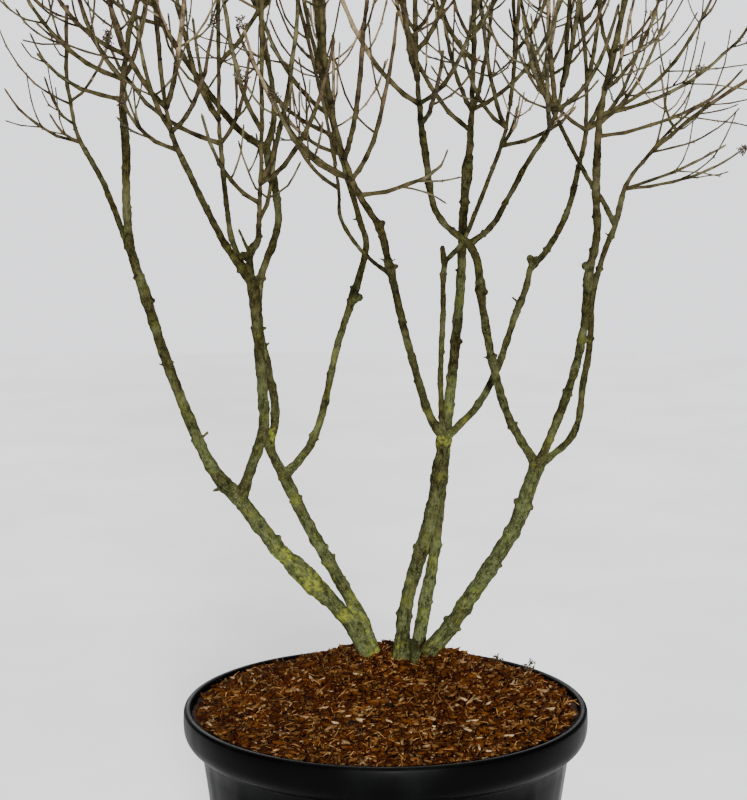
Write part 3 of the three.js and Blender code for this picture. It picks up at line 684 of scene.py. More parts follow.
class Bundle:
    """Many small closed shapes that are joined into one mesh. A tone is a material's number."""

    def __init__(self):
        self.points, self.quads, self.triangles = [], [], []
        self.quad_tones, self.triangle_tones = [], []
        self.count = 0

    def add(self, points, quads, triangles, tone=0):
        self.points.append(points)
        self.quads.append(np.asarray(quads, dtype=int).reshape(-1, 4) + self.count)
        self.triangles.append(np.asarray(triangles, dtype=int).reshape(-1, 3) + self.count)
        self.quad_tones.append(np.full(len(self.quads[-1]), tone))
        self.triangle_tones.append(np.full(len(self.triangles[-1]), tone))
        self.count += len(points)

    def tube(self, points, radii, sides, tone=0, foot_tone=None, foot_share=0):
        """A closed tube along a line, with a tone of its own on a share of its length from the foot"""
        main = unit(points[-1] - points[0])
        across = unit(np.cross(main, away_from(main)))
        tangents = unit_rows(np.gradient(points, axis=0))
        side = unit_rows(across - (tangents @ across)[:, None] * tangents)
        other = np.cross(side, tangents)
        turns = 2 * math.pi * np.arange(sides) / sides
        ring = np.cos(turns)[None, :, None] * side[:, None] - np.sin(turns)[None, :, None] * other[:, None]
        rings = points[:, None] + ring * radii[:, None, None]
        tip = points[-1] + tangents[-1] * radii[-1] * TIP_ROUNDING
        quads, triangles = tube_faces(len(points), sides)
        self.add(np.vstack((rings.reshape(-1, 3), points[:1], tip[None])), quads, triangles, tone)
        if foot_tone is not None:
            self.quad_tones[-1][quads[:, 0] // sides < foot_share * len(points)] = foot_tone

    def beads(self, places, ways, lengths, radii):
        """Four-sided buds, each fullest near its foot and pointed at its tip"""
        ways = unit_rows(ways)
        guess = np.where(np.abs(ways[:, 2:]) < NEARLY_UPRIGHT, (0.0, 0.0, 1.0), (1.0, 0.0, 0.0))
        side = unit_rows(np.cross(ways, guess))
        other = np.cross(ways, side)
        lengths = lengths[:, None]
        girth = places + ways * lengths * BEAD_FULLEST
        ring = [girth + offset * radii[:, None] for offset in (side, other, -side, -other)]
        points = np.stack((places - ways * lengths * BEAD_SUNK, *ring, places + ways * lengths), axis=1)
        faces = [(0, 2, 1), (0, 3, 2), (0, 4, 3), (0, 1, 4), (5, 1, 2), (5, 2, 3), (5, 3, 4), (5, 4, 1)]
        starts = np.arange(len(places))[:, None, None] * 6
        self.add(points.reshape(-1, 3), (), (np.array(faces)[None] + starts).reshape(-1, 3))

    def mesh(self, name):
        points = np.concatenate(self.points)
        quads = np.concatenate(self.quads)
        triangles = np.concatenate(self.triangles)
        tones = np.concatenate(self.quad_tones + self.triangle_tones)
        mesh = bpy.data.meshes.new(name)
        mesh.vertices.add(len(points))
        mesh.vertices.foreach_set("co", points.astype(np.float32).ravel())
        loops = np.concatenate((quads.ravel(), triangles.ravel()))
        mesh.loops.add(len(loops))
        mesh.loops.foreach_set("vertex_index", loops.astype(np.int32))
        starts = np.concatenate((np.arange(len(quads)) * 4, len(quads) * 4 + np.arange(len(triangles)) * 3))
        mesh.polygons.add(len(starts))
        mesh.polygons.foreach_set("loop_start", starts.astype(np.int32))
        mesh.polygons.foreach_set("material_index", tones.astype(np.int32))
        mesh.polygons.foreach_set("use_smooth", np.ones(len(starts), dtype=bool))
        mesh.update(calc_edges=True)
        return mesh

    def piece(self, name, materials, slot, nodes=()):
        piece_of(self.mesh(name), name, materials, nodes)


def placed(name, content):
    """A new object in the scene"""
    thing = bpy.data.objects.new(name, content)
    bpy.context.scene.collection.objects.link(thing)
    return thing


def applied(thing, *helpers):
    """An object's mesh with its modifiers applied. The object goes, and so do its helpers."""
    mesh = bpy.data.meshes.new_from_object(thing.evaluated_get(bpy.context.evaluated_depsgraph_get()))
    for used in (thing, *helpers):
        bpy.data.objects.remove(used)
    return mesh


def piece_of(mesh, name, materials, nodes=()):
    """A mesh as a piece that rides with the plant and stands for the named nodes"""
    piece = placed(name, mesh)
    for material in materials:
        mesh.materials.append(material)
    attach(piece, "root")
    if nodes:
        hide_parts(*nodes)


def mesh_of(shape, name):
    """A finished bmesh as a mesh"""
    mesh = bpy.data.meshes.new(name)
    shape.to_mesh(mesh)
    shape.free()
    return mesh


def lathed(outline, steps):
    """A closed outline of (radius, height) places turned round the upright axis, as a bmesh"""
    shape = bmesh.new()
    rings = []
    turns = [2 * math.pi * step / steps for step in range(steps)]
    for radius, height in outline:
        if radius < ON_AXIS:
            places = [(0, 0, height)]
        else:
            places = [(radius * math.cos(turn), radius * math.sin(turn), height) for turn in turns]
        rings.append([shape.verts.new(place) for place in places])
    for low, high in zip(rings, rings[1:]):
        for step in range(steps):
            beside = (step + 1) % steps
            corners = [low[step % len(low)], low[beside % len(low)]]
            corners += [high[beside % len(high)], high[step % len(high)]]
            shape.faces.new(dict.fromkeys(corners))
    bmesh.ops.recalc_face_normals(shape, faces=shape.faces)
    return shape


# Finishes

NOISE_ROUGHNESS = 0.6


def tint(code):
    """A colour written as six hex digits, as linear red, green and blue"""
    channels = [int(code[i : i + 2], 16) / 255 for i in (0, 2, 4)]
    return tuple(c / 12.92 if c <= 0.04045 else ((c + 0.055) / 1.055) ** 2.4 for c in channels)


class Finish:
    """A material's nodes, made by short calls that each return the socket they end in"""

    def __init__(self, name, roughness, specular=0.12):
        self.material = bpy.data.materials.new(name)
        self.material.use_nodes = True
        self.tree = self.material.node_tree
        self.shader = self.tree.nodes["Principled BSDF"]
        self.shader.inputs["Roughness"].default_value = roughness
        self.shader.inputs["Specular IOR Level"].default_value = specular
        self.place = self.node("TexCoord").outputs["Object"]

    def node(self, kind, inputs=(), **settings):
        node = self.tree.nodes.new("ShaderNode" + kind)
        for key, value in settings.items():
            setattr(node, key, value)
        for socket, value in dict(inputs).items():
            if isinstance(value, bpy.types.NodeSocket):
                self.tree.links.new(value, node.inputs[socket])
            else:
                node.inputs[socket].default_value = value
        return node

    def noise(self, scale, detail=3.0, stretch=None, place=None):
        place = place or self.place
        if stretch:
            place = self.node("Mapping", {0: place, "Scale": stretch}).outputs[0]
        inputs = {"Vector": place, "Scale": scale, "Detail": detail, "Roughness": NOISE_ROUGHNESS}
        return self.node("TexNoise", inputs).outputs["Fac"]

    def cells(self, scale):
        return self.node("TexVoronoi", {"Vector": self.place, "Scale": scale}).outputs["Distance"]

    def attribute(self, name, output="Fac"):
        return self.node("Attribute", attribute_name=name).outputs[output]

    def span(self, value, low, high, to_low=0.0, to_high=1.0):
        """A value between two ends, eased over to between two others"""
        inputs = {0: value, 1: low, 2: high, 3: to_low, 4: to_high}
        return self.node("MapRange", inputs, interpolation_type="SMOOTHSTEP").outputs[0]

    def math(self, operation, a, b):
        return self.node("Math", {0: a, 1: b}, operation=operation).outputs[0]

    def sum(self, a, b):
        return self.math("ADD", a, b)

    def times(self, a, b):
        return self.math("MULTIPLY", a, b)

    def larger(self, a, b):
        return self.math("MAXIMUM", a, b)

    def blend(self, share, a, b):
        """Colour b over colour a, by a share"""
        a, b = (end if isinstance(end, bpy.types.NodeSocket) else (*end[:3], 1) for end in (a, b))
        return self.node("Mix", {0: share, 6: a, 7: b}, data_type="RGBA").outputs[2]

    def done(self, colour, height=None, distance=0.001, strength=1.0, roughness=None):
        self.tree.links.new(colour, self.shader.inputs["Base Color"])
        if roughness:
            self.tree.links.new(roughness, self.shader.inputs["Roughness"])
        if height:
            bump = self.node("Bump", {"Height": height, "Distance": distance, "Strength": strength})
            self.tree.links.new(bump.outputs[0], self.shader.inputs["Normal"])
        return self.material


def bark_finish(settings):
    """Grey-brown bark with green algae and bright lichen, painted shade in the grooves and dips of its
    relief, and dark node scars and dead wood
    """
    finish = Finish("bark", 0.86, 0.03)
    green = finish.attribute("green")
    patches = finish.noise(17, 3)
    blotches = finish.noise(75, 3)
    streaks = finish.noise(420, 3, place=finish.attribute("grain", "Vector"))
    mottle = finish.times(finish.sum(blotches, streaks), 0.5)
    wood = finish.blend(finish.span(mottle, 0.34, 0.64), settings.wood_dark, settings.wood_light)
    wood = finish.blend(finish.span(patches, 0.5, 0.7, 0, 0.5), wood, settings.wood_worn)
    algae = finish.blend(finish.span(mottle, 0.32, 0.64), settings.algae_dark, settings.algae_light)
    cover = finish.sum(green, finish.span(patches, 0.3, 0.7, -0.25, 0.25))
    skin = finish.blend(finish.span(cover, 0, 1), wood, algae)
    flecks = finish.span(finish.cells(260), 0.0, 0.4, 0.55, 0.0)
    flecks = finish.times(flecks, finish.span(green, 0.15, 0.8, 0.2, 1.0))
    skin = finish.blend(flecks, skin, settings.fleck)
    yellow = finish.times(finish.span(finish.noise(28, 4), 0.52, 0.72, 0, 0.6), green)
    crust = finish.sum(finish.attribute("lichen"), finish.span(finish.noise(80, 5), 0.3, 0.7, -0.85, 0.25))
    crust = finish.larger(finish.span(crust, 0.0, 0.9, 0, 0.85), yellow)
    skin = finish.blend(crust, skin, finish.blend(mottle, settings.lichen_dark, settings.lichen))
    # Painted shade: the bark darkens in the grooves and dips of its relief, and it also takes the dark of its
    # node scars and dead wood
    skin = finish.blend(finish.span(finish.attribute("hollow"), 0.35, 1.1, 0, 0.7), skin, settings.dead_wood_and_shade)
    height = finish.sum(streaks, finish.noise(800, 3))
    return finish.done(skin, height, 0.0007, 1.0, finish.span(blotches, 0.3, 0.7, 0.8, 0.95))


def twig_finish(name, dark, light, roughness=0.7):
    """Thin bark, mottled finely between a dark and a light colour"""
    finish = Finish(name, roughness, 0.03)
    grit = finish.noise(420, 2)
    mottle = finish.sum(finish.times(finish.noise(50, 3), 0.75), finish.times(grit, 0.25))
    colour = finish.blend(finish.span(mottle, 0.3, 0.7), dark, light)
    return finish.done(colour, grit, 0.0003, 0.5)


def chip_finish(name, dark, light):
    """Shredded bark: fine fibres, mottling between a dark and a light colour, and damp patches"""
    finish = Finish(name, 0.85, 0.02)
    fibres = finish.noise(500, 3, (1, 0.25, 1))
    damp = tuple(c * 0.35 for c in dark)
    colour = finish.blend(finish.span(finish.noise(130, 5), 0.3, 0.72), dark, light)
    colour = finish.blend(finish.span(fibres, 0.5, 0.75, 0, 0.5), colour, damp)
    colour = finish.blend(finish.span(finish.noise(16, 2), 0.36, 0.6, 0.5, 0), colour, damp)
    return finish.done(colour, fibres, 0.0008, 0.8)


def pot_finish(settings):
    """Black moulded plastic, satin, with a fine grain, faint smears and dust"""
    finish = Finish("pot_plastic", 0.36, 0.03)
    smears = finish.noise(9, 5, (1, 1, 0.35))
    grain = finish.noise(1400, 2)
    colour = finish.blend(finish.span(smears, 0.45, 0.75), settings.plastic, settings.dust)
    rough = finish.sum(finish.span(smears, 0.3, 0.7, 0.3, 0.44), finish.span(grain, 0.3, 0.7, 0, 0.06))
    return finish.done(colour, grain, 0.00015, 0.5, rough)


def soil_finish(name, dark, light):
    """Damp crumbs of compost"""
    finish = Finish(name, 0.95)
    colour = finish.blend(finish.span(finish.noise(180, 5), 0.4, 0.7), dark, light)
    return finish.done(colour, finish.cells(260), 0.002, 0.8)


def colour_prop(name, description, code):
    return bpy.props.FloatVectorProperty(
        name=name, description=description, default=tint(code), subtype="COLOR", min=0, max=1
    )


def length_prop(name, description, default, least=0):
    return bpy.props.FloatProperty(
        name=name, description=description, default=default, unit="LENGTH", min=least
    )


class BarkSettings(bpy.types.PropertyGroup):
    """Sizes and colours of the stems and boughs"""

    voxel: length_prop("Mesh step", "Edge length of the bark's mesh", 0.00196)
    thickness: length_prop("Bark thickness", "How far the bark stands out of the solids", 0.0003)
    ridge: length_prop("Ridge height", "Height of the bark's long ridges on the thickest stem", 0.001)
    lump: length_prop("Lump height", "Height of the bark's soft lumps", 0.0022)
    node_gap: length_prop("Node gap", "Usual distance between two knobs along a limb", 0.062)
    wood_dark: colour_prop("Dark wood", "Bark in the streaks' dark part", "0a0802")
    wood_light: colour_prop("Light wood", "Bark in the streaks' light part", "2e2914")
    wood_worn: colour_prop("Worn wood", "Paler bark where it is worn", "524d38")
    # Painted shade for the bark's grooves and dips, which is also the colour of its dark node scars and dead
    # wood
    dead_wood_and_shade: colour_prop("Hollows", "Bark in its hollows", "060501")
    algae_dark: colour_prop("Dark algae", "Green film, dark part", "151804")
    algae_light: colour_prop("Light algae", "Green film, light part", "484d2e")
    lichen: colour_prop("Lichen", "Bright crust on the old wood", "7c8131")
    lichen_dark: colour_prop("Lichen, dark part", "Bright crust in its hollows", "454817")
    fleck: colour_prop("Flecks", "Pale grey-green spots", "787c61")


class TwigSettings(bpy.types.PropertyGroup):
    """Sizes and colours of the twigs, buds and dried flower heads"""

    step: length_prop("Twig step", "Distance between two rings of a twig", 0.019)
    bud: length_prop("Bud length", "Length of a winter bud", 0.0042)
    head: length_prop("Head length", "Length of a dried flower head", 0.027)
    brown_dark: colour_prop("Brown, dark part", "Most twigs", "0e0a04")
    brown_light: colour_prop("Brown, light part", "Most twigs", "4e422f")
    olive_dark: colour_prop("Olive, dark part", "Twigs with a green film", "120f05")
    olive_light: colour_prop("Olive, light part", "Twigs with a green film", "534e37")
    tan_dark: colour_prop("Tan, dark part", "Pale twigs", "261d12")
    tan_light: colour_prop("Tan, light part", "Pale twigs", "807257")
    old_dark: colour_prop("Old wood, dark part", "The feet of the leading shoots", "100d04")
    old_light: colour_prop("Old wood, light part", "The feet of the leading shoots", "433d26")


class PotSettings(bpy.types.PropertyGroup):
    """Sizes and colours of the pot and what fills it"""

    rib: length_prop("Rib height", "How far the body's upright ribs stand out", 0.0018)
    chip: length_prop("Chip length", "Usual length of a bark chip", 0.0155)
    plastic: colour_prop("Plastic", "Black of the pot", "020202")
    dust: colour_prop("Dust", "Faint dust on the pot", "060707")


class StageSettings(bpy.types.PropertyGroup):
    """The pale floor, the soft lights and the camera"""

    distance: length_prop("Camera distance", "How far the camera stands in front of the pot's middle", 3.6)
    height: length_prop("Camera height", "Height of the camera above the ground", 1.652)
    aside: length_prop("Camera shift", "How far right of the pot's middle the camera stands", -0.0218, -1)
    tilt: bpy.props.FloatProperty(
        name="Camera tilt",
        description="Angle that the camera looks down",
        default=math.radians(8.8),
        subtype="ANGLE",
    )
    lens: bpy.props.FloatProperty(
        name="Lens",
        description="Focal length in millimetres",
        default=92.5,
        min=10,
    )
    floor: colour_prop("Floor", "Pale floor", "f5f5f7")


# Stems and boughs

BARK_SIDES = 14
BARK_RING = 0.009
# Each pair of rounds moves a point towards its neighbours' middle, then back by a little more
RELAX_ROUNDS = 5
RELAX_IN = 0.6
RELAX_OUT = -0.62
# How a bough thickens where it leaves another: its extra radius and its length, in radii
COLLAR_SIZE = 0.3
COLLAR_LENGTH = 2.2
# Rings at a limb's nodes: their share of the radius and their width
NODE_RING = 0.16
NODE_RING_WIDTH = 0.006

# Knobs at the nodes. Spacings are beside the usual gap, and sizes beside the limb's radius.
KNOB_SEED = (31, 17)
FIRST_KNOB = (0.5, 1.0)
KNOB_SPACING = (0.6, 1.5)
KNOB_TURN_VARY = 0.4
KNOB_TIP_CLEAR = 0.02
KNOB_CHANCE = 0.7
KNOB_SIZE = (0.24, 0.44)
KNOB_HEIGHT = 0.8
KNOB_LEAST_HEIGHT = 0.0015
KNOB_LEAST_RADIUS = 0.001
KNOB_LEAN = 0.45
KNOB_SIDES = 8
# Where a knob's rings are along it, and how thick it is there
KNOB_RINGS = (0.0, 0.55, 0.9, 1.0)
KNOB_GIRTHS = (1.25, 1.0, 0.96, 0.68)
# A few of the knobs are dead stubs
STUB_CHANCE = 0.09
STUB_HEIGHT = (0.006, 0.016)
STUB_SIZE = 0.3
STUB_MOST_RADIUS = 0.0028
Knob = namedtuple("Knob", "limb share way length radius")

# Stubs and knobs that show by themselves: limb, share of its length, direction, length, radius
STUBS = (
    Knob("bough_upright", 0.45, (-0.12, -0.1, 1), 0.034, 0.0056),
    Knob("bough_crossing_back", 0.34, (-0.75, -0.2, 0.8), 0.02, 0.003),
    Knob("bough_crossing_back", 0.52, (-0.5, -0.35, 0.8), 0.019, 0.0084),
    Knob("bough_crossing_back", 0.54, (0.1, -0.5, 0.8), 0.012, 0.006),
    Knob("bough_far_left", 0.738, (0.8, -0.4, 0.5), 0.0155, 0.0056),
    Knob("bough_left_front", 0.3, (-0.75, -0.4, 0.35), 0.019, 0.0078),
    Knob("bough_left_front", 0.36, (-0.35, -0.5, 0.9), 0.055, 0.0027),
    Knob("bough_centre_left", 0.585, (0.9, -0.4, -0.05), 0.0185, 0.0082),
    Knob("bough_centre_left", 0.6, (-0.9, -0.3, 0.3), 0.012, 0.004),
    Knob("bough_centre", 0.53, (0.9, -0.3, 0.3), 0.015, 0.0042),
    Knob("bough_centre", 0.78, (0.5, -0.4, 0.8), 0.0145, 0.0055),
    Knob("bough_centre_right", 0.66, (0.9, -0.4, 0.35), 0.013, 0.0055),
    Knob("bough_right", 0.6, (-0.9, -0.35, 0.2), 0.0145, 0.0075),
    Knob("stem_middle_front", 0.62, (0.95, -0.3, 0.2), 0.017, 0.0068),
    Knob("stem_middle_front", 0.76, (0.95, -0.3, 0.3), 0.018, 0.0072),
    Knob("stem_middle_front", 0.9, (0.95, -0.2, 0.4), 0.015, 0.0052),
    Knob("stem_right", 0.72, (0.8, -0.3, -0.4), 0.017, 0.0062),
    Knob("stem_inner_left", 0.62, (0.8, -0.2, 0.4), 0.014, 0.0055),
)
# Patches of bright lichen: limb, share of its length, radius of the patch
LICHEN = (
    ("stem_outer_left", 0.3, 0.022),
    ("stem_outer_left", 0.52, 0.036),
    ("stem_outer_left", 0.7, 0.03),
    ("stem_inner_left", 0.14, 0.02),
    ("stem_inner_left", 0.24, 0.018),
    ("bough_inner_left", 0.19, 0.018),
    ("stem_right", 0.28, 0.02),
    ("stem_right", 0.45, 0.016),
    ("stem_middle_front", 0.1, 0.018),
    ("stem_middle_front", 0.97, 0.02),
)
# Dark dead wood: limb, share of its length, radius of the patch
DEAD_WOOD = (
    ("cut_stub", 1, 0.034),
    ("stem_middle_back", 0.04, 0.018),
    ("bough_left_front", 0.33, 0.014),
    ("bough_centre_left", 0.59, 0.016),
    ("bough_centre_side", 0.12, 0.022),
    ("bough_crossing_back", 0.53, 0.01),
    ("bough_upright", 0.48, 0.01),
    ("bough_right", 0.6, 0.011),
    ("stem_middle_front", 0.76, 0.01),
)

# Relief of the bark. A fineness is in waves to the metre.
RIDGES_ROUND = 230
RIDGES_ALONG = 42
RIDGE_NOISE = (0.9, 2.1, 3)
LUMP_FINENESS = 60
SMALL_LUMP_FINENESS = 130
SMALL_LUMP_SHARE = 0.4
SCAR_DEPTH = 0.0005
SCAR_WIDTH = 0.0016
CRUST_HEIGHT = 0.0022
CRUST_FINENESS = 170
CRUST_RAISED = 0.35
GIRTH_POWER = 0.6
GRAIN_STRETCH = 0.22
# Green film: how much at the foot, how much less at a height above it, and how much it varies
GREEN_AT_FOOT = 0.78
GREEN_LOSS = 0.7
GREEN_RISE = 0.9
GREEN_VARY = 0.22
GREEN_FINENESS = 9
# How much painted shade the bark gets by itself, in the grooves of its ridges and the dips of its lumps, and
# how dark its node scars are
CREVICE_SHADE = (0.2, -0.7, -0.35, 0.3)
# Stands for the scars of a limb that has none
NO_SCAR = 9.0


def family_of(limb):
    return next((side for side in ("left", "right") if side in limb.name), "middle")


def knobs_on(limb, number, gap):
    """Opposite knobs at the nodes of a limb, by a seeded rule. Some are short dead stubs."""
    points, radii = limb_line(limb, BARK_RING)
    walked = np.concatenate(((0,), np.cumsum(np.linalg.norm(np.diff(points, axis=0), axis=1))))
    random = random_run(KNOB_SEED[0] + KNOB_SEED[1] * number)
    knobs, nodes = [], []
    distance = gap * mix(*FIRST_KNOB, random())
    turn = random() * math.pi
    while distance < walked[-1] - KNOB_TIP_CLEAR:
        index = int(np.searchsorted(walked, distance))
        tangent = unit(points[index] - points[index - 1])
        out = turned(tangent, turn)
        nodes.append(distance)
        for sign in (1, -1):
            size = mix(*KNOB_SIZE, random())
            draw = random()
            if draw < STUB_CHANCE:
                height = mix(*STUB_HEIGHT, random())
                radius = min(radii[index] * STUB_SIZE, STUB_MOST_RADIUS)
            else:
                height = radii[index] * size * KNOB_HEIGHT + KNOB_LEAST_HEIGHT
                radius = radii[index] * size + KNOB_LEAST_RADIUS
            if draw < KNOB_CHANCE:
                way = unit(out * sign + tangent * KNOB_LEAN)
                knobs.append((points[index], way, radii[index] + height, radius))
        distance += gap * mix(*KNOB_SPACING, random())
        turn += math.pi / 2 + mix(-KNOB_TURN_VARY, KNOB_TURN_VARY, random())
    return knobs, nodes, walked


def add_knob(bundle, place, way, length, radius):
    line = place + way * length * np.array(KNOB_RINGS)[:, None]
    bundle.tube(line, radius * np.array(KNOB_GIRTHS), KNOB_SIDES)


def nearness(at, patches):
    """How near a place is to the nearest of some patches, from 1 in its middle to 0 outside"""
    return max(bell((at - centre).length, size) for centre, size in patches)


def limb_skins(limbs, settings):
    """The rough tubes, collars and knobs of some limbs, and a guide of their centre lines"""
    bundle = Bundle()
    guide = []
    for limb in limbs:
        points, radii = limb_line(limb, BARK_RING)
        radii = radii + settings.thickness
        knobs, nodes, walked = knobs_on(limb, LIMBS.index(limb), settings.node_gap)
        if not limb.flare:
            radii = radii + radii[0] * COLLAR_SIZE * np.exp(-((walked / (COLLAR_LENGTH * radii[0])) ** 2))
        for node in nodes:
            radii = radii + radii * NODE_RING * np.exp(-(((walked - node) / NODE_RING_WIDTH) ** 2))
        bundle.tube(points, radii, BARK_SIDES)
        for knob in knobs:
            add_knob(bundle, *knob)
        for stub in STUBS:
            if stub.limb == limb.name:
                place = along(limb.places, stub.share)
                add_knob(bundle, place, unit(np.array(stub.way)), stub.length, stub.radius)
        tangents = unit_rows(np.gradient(points, axis=0))
        main = unit(points[-1] - points[0])
        side = unit_rows(np.cross(tangents, np.cross(main, away_from(main))))
        scars = np.array(nodes or (NO_SCAR,))
        for index, point in enumerate(points):
            guide.append((point, tangents[index], side[index], walked[index], radii[index], scars))
    return bundle, guide


def voxel_skin(bundle, voxel):
    """One closed skin round overlapping shapes"""
    rough = placed("rough_skin", bundle.mesh("rough_skin"))
    remesh = rough.modifiers.new("skin", "REMESH")
    remesh.mode = "VOXEL"
    remesh.voxel_size = voxel
    remesh.use_smooth_shade = True
    return applied(rough)


def read_points(mesh, field):
    values = np.empty(len(mesh.vertices) * 3, dtype=np.float32)
    mesh.vertices.foreach_get(field, values)
    return values.reshape(-1, 3)


def write_points(mesh, points):
    mesh.vertices.foreach_set("co", points.astype(np.float32).ravel())
    mesh.update()


def write_attribute(mesh, name, kind, field, values):
    attribute = mesh.attributes.new(name, kind, "POINT")
    attribute.data.foreach_set(field, values.astype(np.float32).ravel())


def relaxed(mesh):
    """A mesh's points evened out, in and out by turns so that thin parts keep their girth"""
    points = read_points(mesh, "co").astype(float)
    edges = np.empty(len(mesh.edges) * 2, dtype=np.int32)
    mesh.edges.foreach_get("vertices", edges)
    count = np.bincount(edges, minlength=len(points))[:, None]
    low, high = edges.reshape(-1, 2).T
    for share in (RELAX_IN, RELAX_OUT) * RELAX_ROUNDS:
        total = np.empty_like(points)
        for axis in range(3):
            total[:, axis] = np.bincount(low, points[high, axis], len(points))
            total[:, axis] += np.bincount(high, points[low, axis], len(points))
        points = points + (total / count - points) * share
    return points


def bark_relief(points, normals, guide, settings):
    """Moves each point by the bark's relief, and tells the grain, algae and lichen there, and the painted
    shade of its grooves together with its dark node scars and dead wood
    """
    tree = tree_of([mark[0] for mark in guide])
    crusts, dead = (
        [(Vector(along(limb_named(name).places, share)), radius) for name, share, radius in rows]
        for rows in (LICHEN, DEAD_WOOD)
    )
    thickest = LIMBS[0].radii[0]
    moved = np.empty_like(points)
    grain = np.empty_like(points)
    cover = np.empty_like(points)
    for index, point in enumerate(points):
        place, tangent, side, walked, radius, scars = guide[tree.find(point)[1]]
        off = point - place
        across = off @ side
        round_ = off @ np.cross(tangent, side)
        length = walked + off @ tangent
        at = Vector(point)
        grooves = (across * RIDGES_ROUND, round_ * RIDGES_ROUND, length * RIDGES_ALONG)
        ridges = noise.fractal(grooves, *RIDGE_NOISE)
        lumps = noise.noise(at * LUMP_FINENESS) + SMALL_LUMP_SHARE * noise.noise(at * SMALL_LUMP_FINENESS)
        scar = bell(np.abs(scars - length).min(), SCAR_WIDTH)
        lichen = nearness(at, crusts)
        girth = min(1.0, radius / thickest) ** GIRTH_POWER
        relief = settings.ridge * girth * ridges + settings.lump * girth * lumps - SCAR_DEPTH * scar
        relief += CRUST_HEIGHT * lichen * girth * (noise.noise(at * CRUST_FINENESS) + CRUST_RAISED)
        moved[index] = point + normals[index] * relief
        grain[index] = (across, round_, length * GRAIN_STRETCH)
        height = (point[2] - STEM_CUT) / GREEN_RISE
        green = GREEN_AT_FOOT - GREEN_LOSS * height + GREEN_VARY * noise.noise(at * GREEN_FINENESS)
        # Painted shade in the grooves and dips of the relief, with the dark of the node scars and of dead
        # wood
        hollow = CREVICE_SHADE[0] + CREVICE_SHADE[1] * ridges + CREVICE_SHADE[2] * lumps + CREVICE_SHADE[3] * scar + nearness(at, dead)
        cover[index] = (min(max(green, 0), 1), lichen, min(max(hollow, 0), 1))
    return moved, grain, cover


def build_bark(settings):
    """Three skins of bark, one for each side of the plant and one for its middle"""
    finish = bark_finish(settings)
    for family in ("left", "middle", "right"):
        limbs = [limb for limb in LIMBS if family_of(limb) == family]
        bundle, guide = limb_skins(limbs, settings)
        mesh = voxel_skin(bundle, settings.voxel * (1))
        points = relaxed(mesh)
        write_points(mesh, points)
        moved, grain, cover = bark_relief(points, read_points(mesh, "normal"), guide, settings)
        moved[:, 2] = np.maximum(moved[:, 2], STEM_CUT)
        write_points(mesh, moved)
        write_attribute(mesh, "grain", "FLOAT_VECTOR", "vector", grain)
        for column, name in enumerate(("green", "lichen", "hollow")):
            write_attribute(mesh, name, "FLOAT", "value", cover[:, column])
        piece_of(mesh, f"bark_{family}", [finish], [limb.name for limb in limbs])


# Twigs, buds and dried flower heads

# How each order of twigs branches on: shares of its length, chance of each twig, share of the length,
# least length
FINER = {
    0: ((0.57, 0.86), 0.8, 0.28, 0.06),
    1: ((0.6, 0.86), 0.56, 0.44, 0.03),
    2: ((0.6,), 0.3, 0.5, 0.02),
}
FINER_FADE = 1.25
FINER_LIFT = 0.22
FINE_SEED = (7001, 613)
# Girth of each order of twigs beside the source's, at these shares of the length
GIRTHS_AT = (0, 0.25, 1)
GIRTHS = {0: (1.0, 0.76, 1.5), 1: (1.4, 1.55, 2.5), 2: (1.6, 1.65, 1.75), 3: (1.3, 1.3, 1.4)}
TWIG_SIDES = {0: 12, 1: 8, 2: 6, 3: 5}
NODE_GIRTH = 1.2
FOOT_GIRTH = 1.3
# A kink at a node is this long, or this share of the twig if that is less
KINK = 0.0032
KINK_SHARE = 0.03
# How far the places between two nodes follow their kinks
KINK_FOLLOWED = 0.5
# Colours of the twigs, dealt out to the shoots, and the share of a twig's foot that is old wood
KINDS = (("brown", 0.7), ("olive", 0.7), ("tan", 0.7), ("old", 0.8))
TONES = (0, 0, 1, 1, 1, 2)
OLD_WOOD = 3
OLD_SHARE = {0: (0.7, 0.9), 1: (0.25, 0.65), 2: (0, 0.2), 3: (0, 0)}
# Buds: chance of a pair, how far it sits in its twig and leans ahead, and sizes beside the usual
BUD_PAIRS = 0.7
BUD_INSET = 0.75
BUD_LEAN = 0.8
BUD_GIRTH = 0.36
SIDE_BUD = 0.8
TIP_BUD = 1.15
# Dried flower heads: which share of each order of twigs ends in one
HEAD_SHARE = {1: 0.12, 2: 0.06}
HEAD_SEED = 4241
HEAD_SIZE = (0.6, 1.15)
# Whorls of stalks on a head: how many, how far up its own level each sits, and its turn from the last
HEAD_LEVELS = 6
LEVEL_SHARE = 0.6
LEVEL_TURN = 0.8
HEAD_AXIS = (0.0012, 0.001, 0.0007)
HEAD_SIDES = 4
STALKS = 4
STALK_SIDES = 3
STALK_TURN_VARY = 0.7
STALK_LOST = 0.25
STALK_SHARE = (0.5, 0.22)
STALK_VARY = (0.6, 1.2)
STALK_RADII = (0.0009, 0.0008, 0.0006)
# The two halves of a stalk: how far each goes outward, ahead along the head and up
STALK_HALVES = ((1, 0.5, 0), (0.8, 0.7, -0.2))
CAPSULES = 3
# Capsules are strewn round the end of their stalk, on the whole a little behind it
CAPSULE_SPREAD = 0.006
CAPSULE_MIDDLE = (0.5, 0.5, 0.6)
CAPSULE_LENGTH = 0.0032
CAPSULE_RADIUS = 0.0015
# Old flower heads that lie on the mulch by the rim: where, and which way they point
FALLEN_HEADS = (((0.225, 0.255, 0.535), (-0.5, 0.1, 0.8)), ((0.266, 0.214, 0.537), (0.7, 0.1, 0.7)))
# Masses whose shoots stay almost bare of finer twigs, the share of these that is left there, and how
# slim their twigs are beside the others
BARE_MASSES = ("twigs_right", "twigs_far_right", "twigs_far_right_inner", "twigs_far_left_outer")
BARE_SHARE = 0.05
SLIM = 0.74


